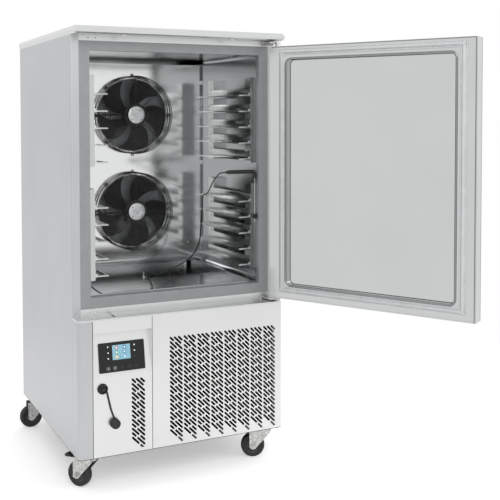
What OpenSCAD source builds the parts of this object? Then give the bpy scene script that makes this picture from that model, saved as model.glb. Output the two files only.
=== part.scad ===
// Reach-in blast chiller for ten trays: insulated cabinet over a machine compartment, on four castors,
// with its door standing open. X runs to the right, Y to the back and Z up, in millimetres.
// The origin is on the floor, under the centre of the cabinet.

/* [Cabinet] */
// Width over the side panels
cab_w = 790; // [770:5:830]
// Depth from the lower front to the rear panel
cab_d = 840; // [820:5:900]
// Height from the floor to the top of the cover
cab_h = 1600; // [1580:10:1700]
// Height of the cabinet's underside above the floor, which the castors make up
leg_h = 120; // [118:1:140]
// Height of the sill above the machine compartment
sill_h = 600; // [590:5:630]
// Height of the cover's edge
lid_h = 26; // [22:1:34]
// How far the cover's rounded edge stands out
lid_nose = 8; // [4:1:12]
// Thickness of the sheet steel
skin_t = 1.2; // [1:0.1:1.6]
// Thickness of the base tray
tray_t = 2; // [1.5:0.5:3]
// Radius of the lower front corners
post_r = 18; // [12:1:24]
// Width of the side panels' front flanges
flange_w = 29; // [24:1:32]

/* [Storage] */
// Thickness of the insulated side walls and rear wall
wall_t = 60; // [50:1:70]
// Insulation between the sill and the storage floor
floor_t = 70; // [64:1:80]
// Distance from the cover's top to the storage ceiling
roof_t = 70; // [60:1:80]
// Thickness of the liner
liner_t = 1; // [0.8:0.1:1.2]
// Radius of the liner's coved edges
cove_r = 15; // [10:1:20]
// Depth of the drain basin in the storage floor
basin_h = 32; // [20:1:40]
// Width of the rim that is left round the basin
basin_rim = 27; // [20:1:32]
// Bore of the drain
drain_d = 28; // [22:1:32]
// Bore of the socket that the building's waste pipe pushes into
outlet_d = 32.4; // [30:0.2:36]
// Width of the grey frame round the opening
frame_w = 38; // [34:1:44]
// Depth of the grey frame
frame_t = 20; // [16:1:24]

/* [Tray racks] */
// Distance from one tray level to the next
level_pitch = 60; // [50:1:64]
// Number of levels in each rack
level_count = 5; // [3:1:5]
// Height of the lowest level
level_low = 730; // [725:5:740]
// Distance from the lowest level of the lower rack to that of the upper rack
rack_step = 400; // [380:5:410]
// Clear width between the left and right uprights, a tray's length and its play
rack_clear = 610; // [600:1:620]
// Width of the ledge that a tray slides on
ledge_w = 50; // [40:1:56]
// Depth of the racks
rack_d = 390; // [360:5:400]

/* [Fans] */
// Distance from the rear wall to the front of the fan panel
fan_panel_back = 160; // [155:1:175]
// Diameter of the evaporator fans
fan_d = 290; // [260:5:300]
// Depth of the fan guards
guard_h = 50; // [44:1:56]
// Place of the fans to the right of the middle
fan_x = 20; // [0:1:20]
// Height of the lower fan
fan_low = 900; // [890:5:910]
// Distance between the fans
fan_step = 400; // [390:5:410]

/* [Door] */
// Width of the door
door_w = 788; // [760:1:790]
// Thickness of the door
door_t = 58; // [50:1:66]
// Gap between the door and the grey frame, which the gasket fills
seal_gap = 7; // [6:0.5:9]
// Gap under the door
door_under = 20; // [18:1:24]
// Gap between the door and the cover's underside
door_over = 24; // [22:1:30]
// Distance from the door's hinge edge to the hinge axis
hinge_edge = 13; // [12:1:16]
// Diameter of the hinge pins
hinge_d = 12; // [10:1:14]
// Angle at which the door stands open
door_open = 120; // [0:1:170]
// Depth of the recess in the door's liner
pan_h = 14; // [8:1:18]

/* [Controls] */
// Left edge of the control panel, from the cabinet's left side
panel_from = 52; // [48:1:58]
// Width of the control panel
panel_w = 216; // [200:1:230]
// How far the display slopes back at its top
panel_slope = 26; // [18:1:32]
// Width of the display glass
glass_w = 167; // [140:1:180]
// Thickness of the display glass
glass_t = 2.5; // [2:0.5:4]
// Diameter of the data socket's collar
socket_d = 29; // [26:1:32]

/* [Vents] */
// Width of a vent slot
slot_w = 7.6; // [6:0.2:8]
// Distance between one band of slots and the next
band_pitch = 53.4; // [52.5:0.1:54]
// Height over which the slot pattern repeats
slot_rise = 31.6; // [31:0.2:33]
// Number of bands
band_count = 8; // [6:1:8]

/* [Castors] */
// Diameter of the wheels
wheel_d = 90; // [80:1:90]
// Width of the wheels
wheel_w = 32; // [26:1:36]
// Distance from the swivel axis to the axle
trail = 40; // [34:1:42]
// Diameter of the axles
axle_d = 10; // [8:1:12]
// Distance of the swivel axes from the middle, to the left and right
castor_x = 342; // [330:1:343]

/* [Hidden] */
$fn = 64;

// Clearances: a shaft in its bush, one body past another, a seam between two fixed sheets
fit = 0.05;
gap = 0.4;
seam = 1;

// Planes of the cabinet
x_left = -cab_w / 2;
x_right = cab_w / 2;
y_front = -cab_d / 2;
y_back = cab_d / 2;
y_face = y_front + door_t + seal_gap;
z_tray = leg_h + tray_t;
z_lid = cab_h - lid_h;
sill_edge = 6;
sill_t = 1.5;
z_panel = sill_h - sill_edge;
bend_r = 4;

// Opening and storage space
frame_side = flange_w;
x_frame = x_right - frame_side;
x_open = x_frame - frame_w;
z_frame_low = sill_h + 25;
z_frame_top = z_lid - 19;
z_open_low = z_frame_low + frame_w;
z_open_top = z_frame_top - frame_w + 5;
y_liner = y_face + frame_t;
x_in = x_right - wall_t;
y_in = y_back - wall_t;
z_floor = sill_h + floor_t;
z_roof = cab_h - roof_t;
z_basin = z_floor - basin_h;
x_basin = x_in - basin_rim;
y_basin = [y_liner + 7, y_in - 67];
liner_lip = 14;
drain_at = [30, 98];
drain_wall = 2;
well_r = 25.2;
foam_seam = 0.2;

// Racks
upright_w = 50;
y_rack = y_liner + 2;
x_web = rack_clear / 2;
web_t = 1.5;
ledge_t = 1.5;
x_ledge = x_web - ledge_w;
upright_tail = 12;

// Fan panel
y_fans = y_in - fan_panel_back;
x_fans = x_in - 8;
z_fans = [z_floor + 25, z_roof - 18];
fan_zs = [fan_low, fan_low + fan_step];
fan_ring = fan_d + 10;
guard_d = fan_d + 34;
guard_t = 3;
motor_d = 74;
shaft_d = 8;
hub_d = 80;

// Door, closed; it is turned about the hinge into its open place
x_door = [x_right - 1 - door_w, x_right - 1];
y_door = [y_front, y_front + door_t];
z_door = [sill_h + door_under, z_lid - door_over];
hinge = [x_door[1] - hinge_edge, y_front + hinge_edge];
door_r = 8;
door_lip = 4;
pan_x = [x_open * -1 + 4, x_open - 12];
pan_z = [z_open_low + 11, z_open_top - 22];
pan_r = 18;
seal_w = 24;
seal_x = [-x_frame + 3, x_frame - 18];
seal_z = [z_frame_low + 18, z_frame_top - 15];
pull_w = 32;
pull_x = x_door[0] + 38;
pull_h = 30;
bush_d = 20;
bush_h = 30;

// Control panel
x_panel = [x_left + panel_from + seam, x_left + panel_from + panel_w - seam];
x_grille = x_panel[1] + 2 * seam;
panel_t = 1.5;
z_band = z_panel - 43;
z_knee = z_panel - 192;
slope_angle = atan2(panel_slope, z_band - z_knee);
glass_foot = 10;
glass_len = 102;
glass_x = x_panel[0] + 22;
socket_at = [x_panel[0] + 33, z_panel - 235];
cap_at = [socket_at[0] + 42, socket_at[1] - 124];
vent_z = z_panel - 85;
vent_x = x_grille + 68;
vent_run = 43;
slot_gap = 9;

// Castors: swivel axes and the direction in which each one trails
castors = [
    [-castor_x, y_front + 58, 125],
    [castor_x, y_front + 58, 159],
    [-castor_x, y_back - 75, 180],
    [castor_x, y_back - 75, 150]];
fork_gap = 2.5;
leg_t = 3;
race_d = 60;
pin_d = 12;
z_axle = wheel_d / 2;
z_race = leg_h - 12;
z_crown = z_race - gap - 6;
pedal_at = [trail + 8, z_crown - 3];

// Condenser unit
coil_x = [x_grille + 100, x_right - 50];
coil_z = [z_tray + 30, z_tray + 370];
coil_y = [y_front + 20, y_front + 68];
cond_at = [(coil_x[0] + coil_x[1]) / 2, (coil_z[0] + coil_z[1]) / 2];
cond_d = 280;
shroud_y = coil_y[1] + 22;
compressor_at = [-170, 110];
riser_x = [x_in - 75, x_in - 45];
riser_y = y_in - 28;

// Core probe and the route of its cable, from the handle to the gland in the left wall
probe_at = [x_open - 10, y_face + 14];
handle_z = z_floor + 415;
handle_d = 14;
handle_len = 110;
needle_d = 3.5;
needle_len = 170;
clip_z = z_floor + 246;
cable_d = 4.6;
gland_at = [-x_in, -185, z_floor + 25];
cable_route = [
    [208, -341, 1085], [194, -341, 1084.5], [184, -333, 1083], [183, -320, 1081], [190, -296, 1077],
    [206, -250, 1068], [222, -195, 1054], [236, -140, 1036], [248, -90, 1012], [256, -52, 990],
    [257, -34, 979.5], [252.5, -22, 976], [249.5, -13, 970], [249, -8, 955], [249, -4, 915],
    [248.5, 2, 870], [247, 10, 820], [245, 20, 776], [238, 30, 748], [226, 36, 726], [206, 44, 704],
    [180, 54, 686], [148, 66, 668], [112, 80, 652], [84, 88, 643], [62, 82, 640.5], [44, 60, 640.5],
    [30, 25, 640.5], [10, -40, 640.5], [-12, -110, 640.5], [-38, -175, 640.5], [-72, -212, 640.5],
    [-120, -226, 640.5], [-180, -230, 640.5], [-214, -227, 641], [-240, -220, 645], [-259, -211, 654],
    [-274, -202, 666.5], [-287, -194, 679], [-299, -188, 689], [-310, -185, 694.5], [-322, -185, 695]];

// Colours
steel = [0.8, 0.81, 0.81];
satin = [0.7, 0.71, 0.72];
grey = [0.5, 0.52, 0.52];
zinc = [0.74, 0.74, 0.72];
black = [0.1, 0.1, 0.1];
foam_colour = [0.93, 0.87, 0.66];
copper = [0.72, 0.42, 0.26];
mirror_steel = [0.86, 0.87, 0.88];

// A block between two opposite corners
module block(a, b) {
    translate(a) cube(b - a);
}

// A rod along X, Y or Z
module rod_x(x0, x1, y, z, d) {
    translate([x0, y, z]) rotate([0, 90, 0]) cylinder(d = d, h = x1 - x0);
}
module rod_y(x, y0, y1, z, d) {
    translate([x, y1, z]) rotate([90, 0, 0]) cylinder(d = d, h = y1 - y0);
}
module rod_z(x, y, z0, z1, d) {
    translate([x, y, z0]) cylinder(d = d, h = z1 - z0);
}

// An outline in X and Z given a thickness in Y
module wall_of(y0, y1) {
    translate([0, y1, 0]) rotate([90, 0, 0]) linear_extrude(y1 - y0) children();
}

// A section in Y and Z drawn out along X
module bar_of(x0, x1) {
    translate([x0, 0, 0]) rotate([90, 0, 90]) linear_extrude(x1 - x0) children();
}

// A plan in X and Y drawn out along Z
module post_of(z0, z1) {
    translate([0, 0, z0]) linear_extrude(z1 - z0) children();
}

// A rectangle between two corners with round corners
module round_rect(a, b, r) {
    translate([a[0] + r, a[1]]) square([b[0] - a[0] - 2 * r, b[1] - a[1]]);
    translate([a[0], a[1] + r]) square([b[0] - a[0], b[1] - a[1] - 2 * r]);
    for (x = [a[0] + r, b[0] - r])
        for (y = [a[1] + r, b[1] - r])
            translate([x, y]) circle(r = r);
}

// The bend of a sheet round its outer left front corner
module sheet_bend(r, t) {
    intersection() {
        difference() {
            circle(r = r);
            circle(r = r - t);
        }
        translate([-r, -r]) square(r);
    }
}

// A fan blade that sweeps forward, its outline from a formula, pitched about its own radius
module blade(r0, r1, sweep, pitch) {
    steps = 5;
    lead = [for (i = [0:steps]) let (k = i / steps, r = r0 + (r1 - r0) * k)
        r * [cos(26 + sweep * k * k), sin(26 + sweep * k * k)]];
    back = [for (i = [steps:-1:0]) let (k = i / steps, r = r0 + (r1 - r0) * k)
        r * [cos(-20 + sweep * 1.2 * k * k), sin(-20 + sweep * 1.2 * k * k)]];
    rotate([pitch, 0, 0]) linear_extrude(2, center = true) polygon(concat(lead, back));
}

// A rotor on an axis along Y: hub with a bore for its shaft, and five blades
module rotor(x, z, y0, y1, hub, tip, bore) {
    translate([x, (y0 + y1) / 2, z]) rotate([90, 0, 0]) difference() {
        union() {
            cylinder(d = hub, h = y1 - y0, center = true);
            for (i = [0:4]) rotate([0, 0, 72 * i]) blade(hub / 2 - 2, tip / 2, -16, 17);
        }
        cylinder(d = bore + 2 * fit, h = y1 - y0 + 2, center = true);
    }
}

// A slanted slot that ends level with two points of its line; its round ends stand 0.02 past its sides
module slot(u0, u1, c) {
    k = (slot_w / 2 - 0.02) * sin(45);
    for (u = [u0, u1]) translate([u, c - u]) circle(d = slot_w, $fn = 16);
    polygon([for (p = [[u0, 1], [u1, 1], [u1, -1], [u0, -1]]) [p[0] + p[1] * k, c - p[0] + p[1] * k]]);
}

// One band of the vent: pairs of slots whose gap steps from side to side
module vent_band(rows) {
    slot(slot_rise / 2, vent_run - slot_gap / 2, slot_rise / 2);
    slot(slot_rise, vent_run, slot_rise);
    for (i = [0:rows - 1]) {
        slot(0, 10.5, -i * slot_rise);
        slot(10.5 + slot_gap, vent_run, -i * slot_rise);
        slot(0, 21.5, -(i + 0.5) * slot_rise);
        slot(21.5 + slot_gap, vent_run, -(i + 0.5) * slot_rise);
    }
}

// ---- Cabinet shell ----

module side_panel() {
    block([x_left, y_face + bend_r, z_tray], [x_left + skin_t, y_back - skin_t, z_lid]);
    translate([x_left + bend_r, y_face + bend_r, 0]) post_of(z_tray, z_lid) sheet_bend(bend_r, skin_t);
    block([x_left + bend_r, y_face, z_tray], [x_left + flange_w, y_face + skin_t, z_lid]);
}

module left_side_panel() {
    color(satin) side_panel();
}

module right_side_panel() {
    color(satin) mirror([1, 0, 0]) side_panel();
}

module rear_panel() {
    color(satin) wall_of(y_back - skin_t, y_back) difference() {
        translate([x_left, sill_h]) square([cab_w, z_lid - sill_h]);
        for (z = [sill_h + 60:120:z_lid - 20])
            for (x = [x_left + 8, x_right - 8])
                translate([x, z]) circle(d = 4);
    }
}

// Cover: a pan turned upside down, its front and side edges drawn out to a soft nose
module top_cover() {
    nose_side = lid_nose - 3;
    color(steel) difference() {
        intersection() {
            bar_of(x_left - nose_side, x_right + nose_side) polygon([
                [y_front, cab_h], [y_front - lid_nose, cab_h - lid_h / 2], [y_front - lid_nose + 1, z_lid + 4],
                [y_front - 2, z_lid], [y_back, z_lid], [y_back, cab_h]]);
            wall_of(y_front - lid_nose, y_back) polygon([
                [x_left, cab_h], [x_left - nose_side, cab_h - lid_h / 2], [x_left, z_lid],
                [x_right, z_lid], [x_right + nose_side, cab_h - lid_h / 2], [x_right, cab_h]]);
        }
        block([x_left + 6, y_front + 6, z_lid + skin_t], [x_right - 6, y_back - 6, cab_h - skin_t]);
        block([x_left + 40, y_face + 40, z_lid - 1], [x_right - 40, y_back - 40, z_lid + 3]);
    }
}

// Screw heads, the cover's two front clips, all on the faces that carry them
module screw_front(x, y, z) {
    rod_y(x, y - 1.6, y, z, 7);
}

module fasteners() {
    color(steel) {
        for (x = [-222, 190]) block([x - 7, y_front + 6, z_lid - 5], [x + 7, y_front + 16, z_lid]);
        for (z = [z_frame_low - 12, z_frame_top + 10]) {
            screw_front(x_left + 15, y_face, z);
            for (x = [33, 60]) screw_front(-x_frame + x, y_face - web_t, z);
        }
        for (x = [-x_fans + 55, x_fans - 55])
            for (k = [0.07, 0.49, 0.91])
                screw_front(x, y_fans, z_fans[0] + k * (z_fans[1] - z_fans[0]));
        for (z = [sill_h + 60:120:z_lid - 20])
            for (x = [x_left + 8, x_right - 8])
                rod_y(x, y_back, y_back + 1.6, z, 7);
    }
}

// Sheet between the machine compartment and the insulated box
module cabinet_bottom() {
    color(satin) difference() {
        block([x_left + skin_t, y_face + skin_t, sill_h - skin_t], [x_right - skin_t, y_back - skin_t, sill_h]);
        service_holes(sill_h - 2 * skin_t, sill_h + skin_t);
    }
}

// Ways through the floor for the drain and the refrigerant pipes
module service_holes(z0, z1) {
    rod_z(drain_at[0], drain_at[1], z0, z1, drain_d + 2 * drain_wall);
    for (x = riser_x) rod_z(x, riser_y, z0, z1, 20);
}

module liner_outline(grow) {
    round_rect([-x_in - grow, z_floor - grow], [x_in + grow, z_roof + grow], cove_r + grow);
}

module basin_outline(grow) {
    round_rect([-x_basin - grow, y_basin[0] - grow], [x_basin + grow, y_basin[1] + grow], 20 + grow);
}

// Foam as a roof, a floor, side walls and a rear wall, with strips behind the liner's coves
module cabinet_insulation() {
    color(foam_colour) difference() {
        block([x_left + skin_t, y_face + skin_t, sill_h], [x_right - skin_t, y_back - skin_t, z_lid]);
        block([-x_frame, y_face, z_frame_low], [x_frame, y_liner, z_frame_top]);
        block([-x_in - liner_lip, y_liner - 1, z_floor - liner_lip],
            [x_in + liner_lip, y_liner + liner_t, z_roof + liner_lip]);
        wall_of(y_liner, y_in + liner_t) liner_outline(liner_t);
        block([-x_basin - liner_t, y_basin[0] - liner_t, z_basin - liner_t],
            [x_basin + liner_t, y_basin[1] + liner_t, z_floor]);
        service_holes(sill_h - 1, z_floor);
        block([drain_at[0] - well_r, drain_at[1] - well_r, sill_h - 1],
            [drain_at[0] + well_r, drain_at[1] + well_r, z_basin]);
        for (s = [0, 1]) mirror([s, 0, 0])
            block([x_left, y_face, sill_h - 1], [x_left + bend_r, y_face + bend_r, z_lid + 1]);
        foam_seams();
    }
}

// Seams between the foam's panels
module foam_seams() {
    t = foam_seam;
    low = z_basin - liner_t;
    floor_z = z_floor - liner_t;
    roof_z = z_roof + liner_t;
    side = x_in + liner_t;
    rear = y_in + liner_t;
    block([-cab_w, rear, 0], [cab_w, rear + t, cab_h]);
    for (z = [low - t, floor_z - t, roof_z]) block([-cab_w, y_front, z], [cab_w, rear + t, z + t]);
    for (x = [-side - t, side]) block([x, y_front, floor_z - t], [x + t, rear + t, roof_z + t]);
    for (x = [-x_basin - liner_t - t, x_basin + liner_t]) block([x, y_front, low], [x + t, rear, floor_z]);
    for (x = [drain_at[0] - well_r - t, drain_at[0] + well_r]) block([x, y_front, 0], [x + t, rear, low]);
}

// Liner with coved edges, a lip behind the grey frame and the drain basin pressed into its floor
module cavity_liner() {
    color(mirror_steel) difference() {
        union() {
            wall_of(y_liner, y_in + liner_t) liner_outline(liner_t);
            block([-x_in - liner_lip, y_liner, z_floor - liner_lip],
                [x_in + liner_lip, y_liner + liner_t, z_roof + liner_lip]);
            post_of(z_basin - liner_t, z_floor) basin_outline(liner_t);
        }
        wall_of(y_liner - 1, y_in) liner_outline(0);
        post_of(z_basin, z_floor + 1) basin_outline(0);
        rod_z(drain_at[0], drain_at[1], z_basin - 2 * liner_t, z_floor, drain_d);
        for (x = riser_x) rod_z(x, riser_y, z_basin - 2, z_floor + 1, 20);
    }
}

// Grey frame that the door's gasket closes on, with its mitred corners
module breaker_frame() {
    color(grey) difference() {
        wall_of(y_face, y_liner) difference() {
            translate([-x_frame, z_frame_low]) square([2 * x_frame, z_frame_top - z_frame_low]);
            translate([-x_open, z_open_low]) square([2 * x_open, z_open_top - z_open_low]);
        }
        for (x = [-1, 1])
            for (z = [[z_frame_low, 1], [z_frame_top, -1]])
                translate([x * x_frame, y_face, z[0]]) rotate([0, x * z[1] * 45, 0])
                    block([-0.5, -1, -frame_w * 2], [0.5, 0.6, frame_w * 2]);
    }
}

// Rails above and below the frame, with the plates over the holes for left-hand hinges
module front_rails() {
    color(steel) for (z = [[sill_h, z_frame_low], [z_frame_top, z_lid]]) {
        block([-x_frame, y_face, z[0]], [x_frame, y_face + skin_t, z[1]]);
        wall_of(y_face - web_t, y_face) round_rect([-x_frame + 1, z[0] + 1], [-x_frame + 82, z[1] - 1], 3);
    }
}

// Sill in three lengths: ribbed top, a rolled front edge and a leg behind
module sill_plan(inset) {
    intersection() {
        translate([x_left + inset, y_front + inset]) square([cab_w - 2 * inset, y_face - y_front]);
        round_rect([x_left + inset, y_front + inset], [x_right - inset, y_face + 60], post_r - inset);
    }
}

module sill_profile() {
    joints = [x_left - 1, -148, 221, x_right + 1];
    color(steel) intersection() {
        difference() {
            union() {
                difference() {
                    post_of(z_panel, sill_h) sill_plan(0);
                    post_of(z_panel - 1, sill_h - sill_t) sill_plan(sill_t);
                    block([x_left - 1, y_face, 0], [x_right + 1, y_back, cab_h]);
                }
                block([-x_frame, y_face - sill_t, z_panel - 20], [x_frame, y_face, sill_h]);
            }
            for (y = [14, 30, 46])
                block([x_left - 1, y_front + y, sill_h - 0.7], [x_right + 1, y_front + y + 2, sill_h + 1]);
            block([x_left - 2, y_face, sill_h - 100], [x_right + 2, y_back, sill_h + 1]);
            block([-261, y_front + 18, z_panel - 1], [-255, y_face - 4, sill_h + 1]);
        }
        for (i = [0:2])
            block([joints[i] + 0.4, y_front - 1, z_panel - 30], [joints[i + 1] - 0.4, y_face + 1, sill_h + 1]);
    }
}

// ---- Front of the machine compartment ----

// Plan of a sheet that turns the left front corner and comes back in front of the side panel's flange
module corner_plan(front_to) {
    translate([x_left + post_r, y_front]) square([front_to - x_left - post_r, skin_t]);
    translate([x_left + post_r, y_front + post_r]) sheet_bend(post_r, skin_t);
    translate([x_left, y_front + post_r]) square([skin_t, y_face - y_front - post_r]);
    translate([x_left, y_face - skin_t]) square([flange_w - 4, skin_t]);
}

module corner_post() {
    x_end = x_left + panel_from - seam;
    color(satin) post_of(z_tray, z_panel) {
        corner_plan(x_end);
        translate([x_end - skin_t, y_front]) square([skin_t, 16]);
    }
}

module control_panel() {
    t = panel_t;
    step = [y_front + panel_slope, z_band];
    color(steel) {
        wall_of(y_front, y_front + t) difference() {
            translate([x_panel[0], z_tray]) square([x_panel[1] - x_panel[0], z_knee - z_tray]);
            translate(socket_at) circle(d = socket_d - 3);
            intersection() {
                translate([x_panel[0] + 141, z_knee - 24]) vent_band(7);
                translate([x_panel[0], z_tray + 12]) square([x_panel[1] - x_panel[0], z_knee - z_tray]);
            }
        }
        bar_of(x_panel[0], x_panel[1]) polygon([
            [y_front, z_panel], [y_front, z_band], step, [y_front, z_knee],
            [y_front + t, z_knee], step + [t, t], [y_front + t, z_band + t], [y_front + t, z_panel]]);
        for (x = [x_panel[0], x_panel[1] - t])
            bar_of(x, x + t) polygon([[y_front, z_band], step, [y_front, z_knee]]);
    }
}

module display_glass() {
    color(black) translate([0, y_front, z_knee]) rotate([-slope_angle, 0, 0])
        wall_of(-glass_t, 0)
            round_rect([glass_x, glass_foot], [glass_x + glass_w, glass_foot + glass_len], 4);
}

module grille_panel() {
    x_flat = x_right - post_r - 10;
    color(steel) {
        wall_of(y_front, y_front + skin_t) difference() {
            translate([x_grille, z_tray]) square([x_flat - x_grille, z_panel - z_tray]);
            translate([vent_x, vent_z]) for (b = [0:band_count - 1])
                translate([b * band_pitch, 0]) vent_band(11);
        }
        mirror([1, 0, 0]) post_of(z_tray, z_panel) corner_plan(-x_flat);
        block([x_grille, y_front, z_tray], [x_grille + skin_t, y_front + 16, z_panel]);
    }
}

module data_socket() {
    color(black) difference() {
        union() {
            rod_y(socket_at[0], y_front - 13, y_front, socket_at[1], socket_d);
            rod_y(socket_at[0], y_front, y_front + 20, socket_at[1], socket_d - 3);
            rod_y(socket_at[0], y_front + panel_t, y_front + panel_t + 5, socket_at[1], socket_d + 7);
        }
        difference() {
            rod_y(socket_at[0], y_front - 14, y_front - 3, socket_at[1], socket_d - 6);
            rod_y(socket_at[0], y_front - 15, y_front - 2, socket_at[1], socket_d - 13);
        }
    }
}

// Rubber cap on its strap; the strap's ring turns on the socket's collar
module socket_cap() {
    ring_d = socket_d + 2 * gap;
    cap_d = socket_d + 5;
    color(black) difference() {
        union() {
            wall_of(y_front - 4, y_front - gap) {
                translate(socket_at) circle(d = ring_d + 7);
                polygon([socket_at + [10, -8], socket_at + [17, -4], cap_at + [4, 12], cap_at + [-4, 12]]);
            }
            rod_y(cap_at[0], y_front - 18, y_front - gap, cap_at[1], cap_d);
        }
        rod_y(socket_at[0], y_front - 20, y_front + 1, socket_at[1], ring_d);
        rod_y(cap_at[0], y_front - 15, y_front + 1, cap_at[1], ring_d);
    }
}

// ---- Machine compartment ----

module machine_base() {
    lip = 30;
    color(satin) difference() {
        union() {
            post_of(leg_h, z_tray) round_rect([x_left, y_front], [x_right, y_back], post_r);
            post_of(leg_h, z_tray) translate([x_left, 0]) square([cab_w, y_back]);
            block([x_panel[0] + 4, y_front + skin_t + panel_t, leg_h],
                [x_panel[1] - 4, y_front + skin_t + 2 * panel_t, z_tray + lip]);
            block([x_grille + 4, y_front + skin_t, leg_h],
                [x_right - post_r - 4, y_front + 2 * skin_t, z_tray + lip]);
            for (s = [-1, 1])
                block([s * (x_right - 1.5 * skin_t) - skin_t / 2, y_face + 10, leg_h],
                    [s * (x_right - 1.5 * skin_t) + skin_t / 2, y_back - 10, z_tray + lip]);
        }
        rod_z(drain_at[0], drain_at[1], leg_h - 1, z_tray + 1, drain_d + 2 * drain_wall);
    }
}

// Lower rear panel, with two fields of slots for the warm air
module rear_grille() {
    color(satin) wall_of(y_back - skin_t, y_back) difference() {
        translate([x_left, z_tray]) square([cab_w, sill_h - z_tray]);
        for (x = [-290, 60])
            for (i = [0:13])
                translate([x, z_tray + 70 + 24 * i]) round_rect([0, 0], [230, 9], 4.4);
        translate([x_left + 60, z_tray + 28]) circle(d = 20);
    }
}

module compressor() {
    translate([compressor_at[0], compressor_at[1], z_tray]) color(black) {
        rotate_extrude() polygon(concat([[0, 24], [85, 24], [95, 34], [95, 120], [98, 120], [98, 128], [95, 128]],
            [for (a = [0:10:90]) [95 * cos(a), 160 + 62 * sin(a)]]));
        difference() {
            round_plate([-115, -90, 18], [115, 90, 25]);
            for (x = [-95, 95])
                for (y = [-70, 70])
                    rod_z(x, y, 17, 26, 12);
        }
        translate([0, -98, 140]) block([-28, -22, -30], [28, 14, 30]);
    }
}

// A flat plate with round corners
module round_plate(a, b) {
    post_of(a[2], b[2]) round_rect([a[0], a[1]], [b[0], b[1]], 12);
}

module compressor_mounts() {
    color(grey) for (x = [-95, 95])
        for (y = [-70, 70])
            translate([compressor_at[0] + x, compressor_at[1] + y, z_tray]) rotate_extrude() polygon([
                [0, 0], [17, 0], [17, 7], [13, 9], [17, 12], [14, 18], [6, 18], [6, 27], [9, 27], [9, 31], [0, 31]]);
}

// U-bends at the end of a finned coil
module coil_bend(p, r, d) {
    translate(p) rotate([90, 0, 0]) rotate([0, 0, -90]) rotate_extrude(angle = 180)
        translate([r, 0]) circle(d = d, $fn = 24);
}

module condenser_coil() {
    pitch = 25;
    color([0.75, 0.76, 0.77]) difference() {
        block([coil_x[0], coil_y[0] + 3, coil_z[0]], [coil_x[1], coil_y[1] - 3, coil_z[1]]);
        for (z = [coil_z[0] + 10:20:coil_z[1] - 10])
            block([coil_x[0] + 3, coil_y[0], z], [coil_x[1] - 3, coil_y[0] + 5, z + 1.5]);
    }
    color(copper) for (i = [0:5]) {
        z = coil_z[0] + 30 + 2 * pitch * i;
        coil_bend([coil_x[1] + 2, coil_y[0] + 16, z + pitch / 2], pitch / 2, 10);
        coil_bend([coil_x[1] + 2, coil_y[1] - 16, z + pitch / 2], pitch / 2, 10);
    }
    color(zinc) for (x = [coil_x[0] - 2, coil_x[1]])
        block([x, coil_y[0], z_tray], [x + 2, coil_y[1], coil_z[1] + 6]);
}

module condenser_shroud() {
    t = skin_t;
    color(black) difference() {
        union() {
            block([coil_x[0] - 2, shroud_y - t, z_tray], [coil_x[1] + 2, shroud_y, coil_z[1] + 6]);
            for (x = [coil_x[0] - 2, coil_x[1] + 2 - t])
                block([x, coil_y[1], z_tray], [x + t, shroud_y, coil_z[1] + 6]);
            block([coil_x[0] - 2, coil_y[1], coil_z[1] + 6 - t], [coil_x[1] + 2, shroud_y, coil_z[1] + 6]);
            rod_y(cond_at[0], shroud_y - 10, shroud_y + 10, cond_at[1], cond_d + 14);
        }
        rod_y(cond_at[0], shroud_y - 11, shroud_y + 11, cond_at[1], cond_d + 10);
    }
}

module condenser_motor() {
    y0 = shroud_y + 18;
    color(black) {
        rod_y(cond_at[0], y0, y0 + 60, cond_at[1], 86);
        rod_y(cond_at[0], shroud_y - 8, y0, cond_at[1], shaft_d);
        for (a = [45, 135])
            translate([cond_at[0], 0, cond_at[1]]) rotate([0, a, 0])
                block([-(cond_d / 2 + 26), y0 + 20, -8], [cond_d / 2 + 26, y0 + 24, 8]);
        for (a = [45:90:315])
            translate([cond_at[0], 0, cond_at[1]]) rotate([0, a, 0])
                block([cond_d / 2 + 18, shroud_y, -8], [cond_d / 2 + 26, y0 + 24, 8]);
    }
}

module condenser_rotor() {
    color(satin) rotor(cond_at[0], cond_at[1], shroud_y - 12, shroud_y + 14, 64, cond_d, shaft_d);
}

// Pipes run square, with a fitting at each turn
module pipe(points, d) {
    for (i = [0:len(points) - 2]) {
        v = points[i + 1] - points[i];
        translate(points[i]) rotate([0, acos(v[2] / norm(v)), atan2(v[1], v[0])])
            cylinder(d = d, h = norm(v), $fn = 24);
    }
    for (i = [1:len(points) - 2]) translate(points[i]) sphere(d = d * 1.4, $fn = 24);
}

// Receiver, discharge and liquid lines, and the two risers to the evaporator
module refrigerant_pipes() {
    receiver = [coil_x[1] - 60, 150];
    high = z_floor + 80;
    coil_end = riser_x[0] - 38;
    color(copper) {
        translate([receiver[0], receiver[1], z_tray]) rotate_extrude() polygon(
            [[0, 0], [40, 0], [40, 8], [45, 14], [45, 210], [36, 226], [0, 230]]);
        pipe([[receiver[0], receiver[1], z_tray + 225], [receiver[0], receiver[1], z_tray + 300],
            [riser_x[0], receiver[1], z_tray + 300], [riser_x[0], riser_y, z_tray + 300],
            [riser_x[0], riser_y, high], [coil_end, riser_y, high]], 10);
        pipe([[receiver[0] - 30, receiver[1], z_tray + 150], [receiver[0] - 80, receiver[1], z_tray + 150],
            [receiver[0] - 80, -150, z_tray + 150], [coil_x[0] - 30, -150, z_tray + 150],
            [coil_x[0] - 30, coil_y[0] + 24, z_tray + 150], [coil_x[0] - 2, coil_y[0] + 24, z_tray + 150]], 10);
        pipe([[compressor_at[0] + 95, compressor_at[1], z_tray + 60], [-30, compressor_at[1], z_tray + 60],
            [-30, riser_y + 30, z_tray + 60], [riser_x[1], riser_y + 30, z_tray + 60],
            [riser_x[1], riser_y, z_tray + 60], [riser_x[1], riser_y, high + 20],
            [coil_end, riser_y, high + 20]], 14);
    }
}

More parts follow.
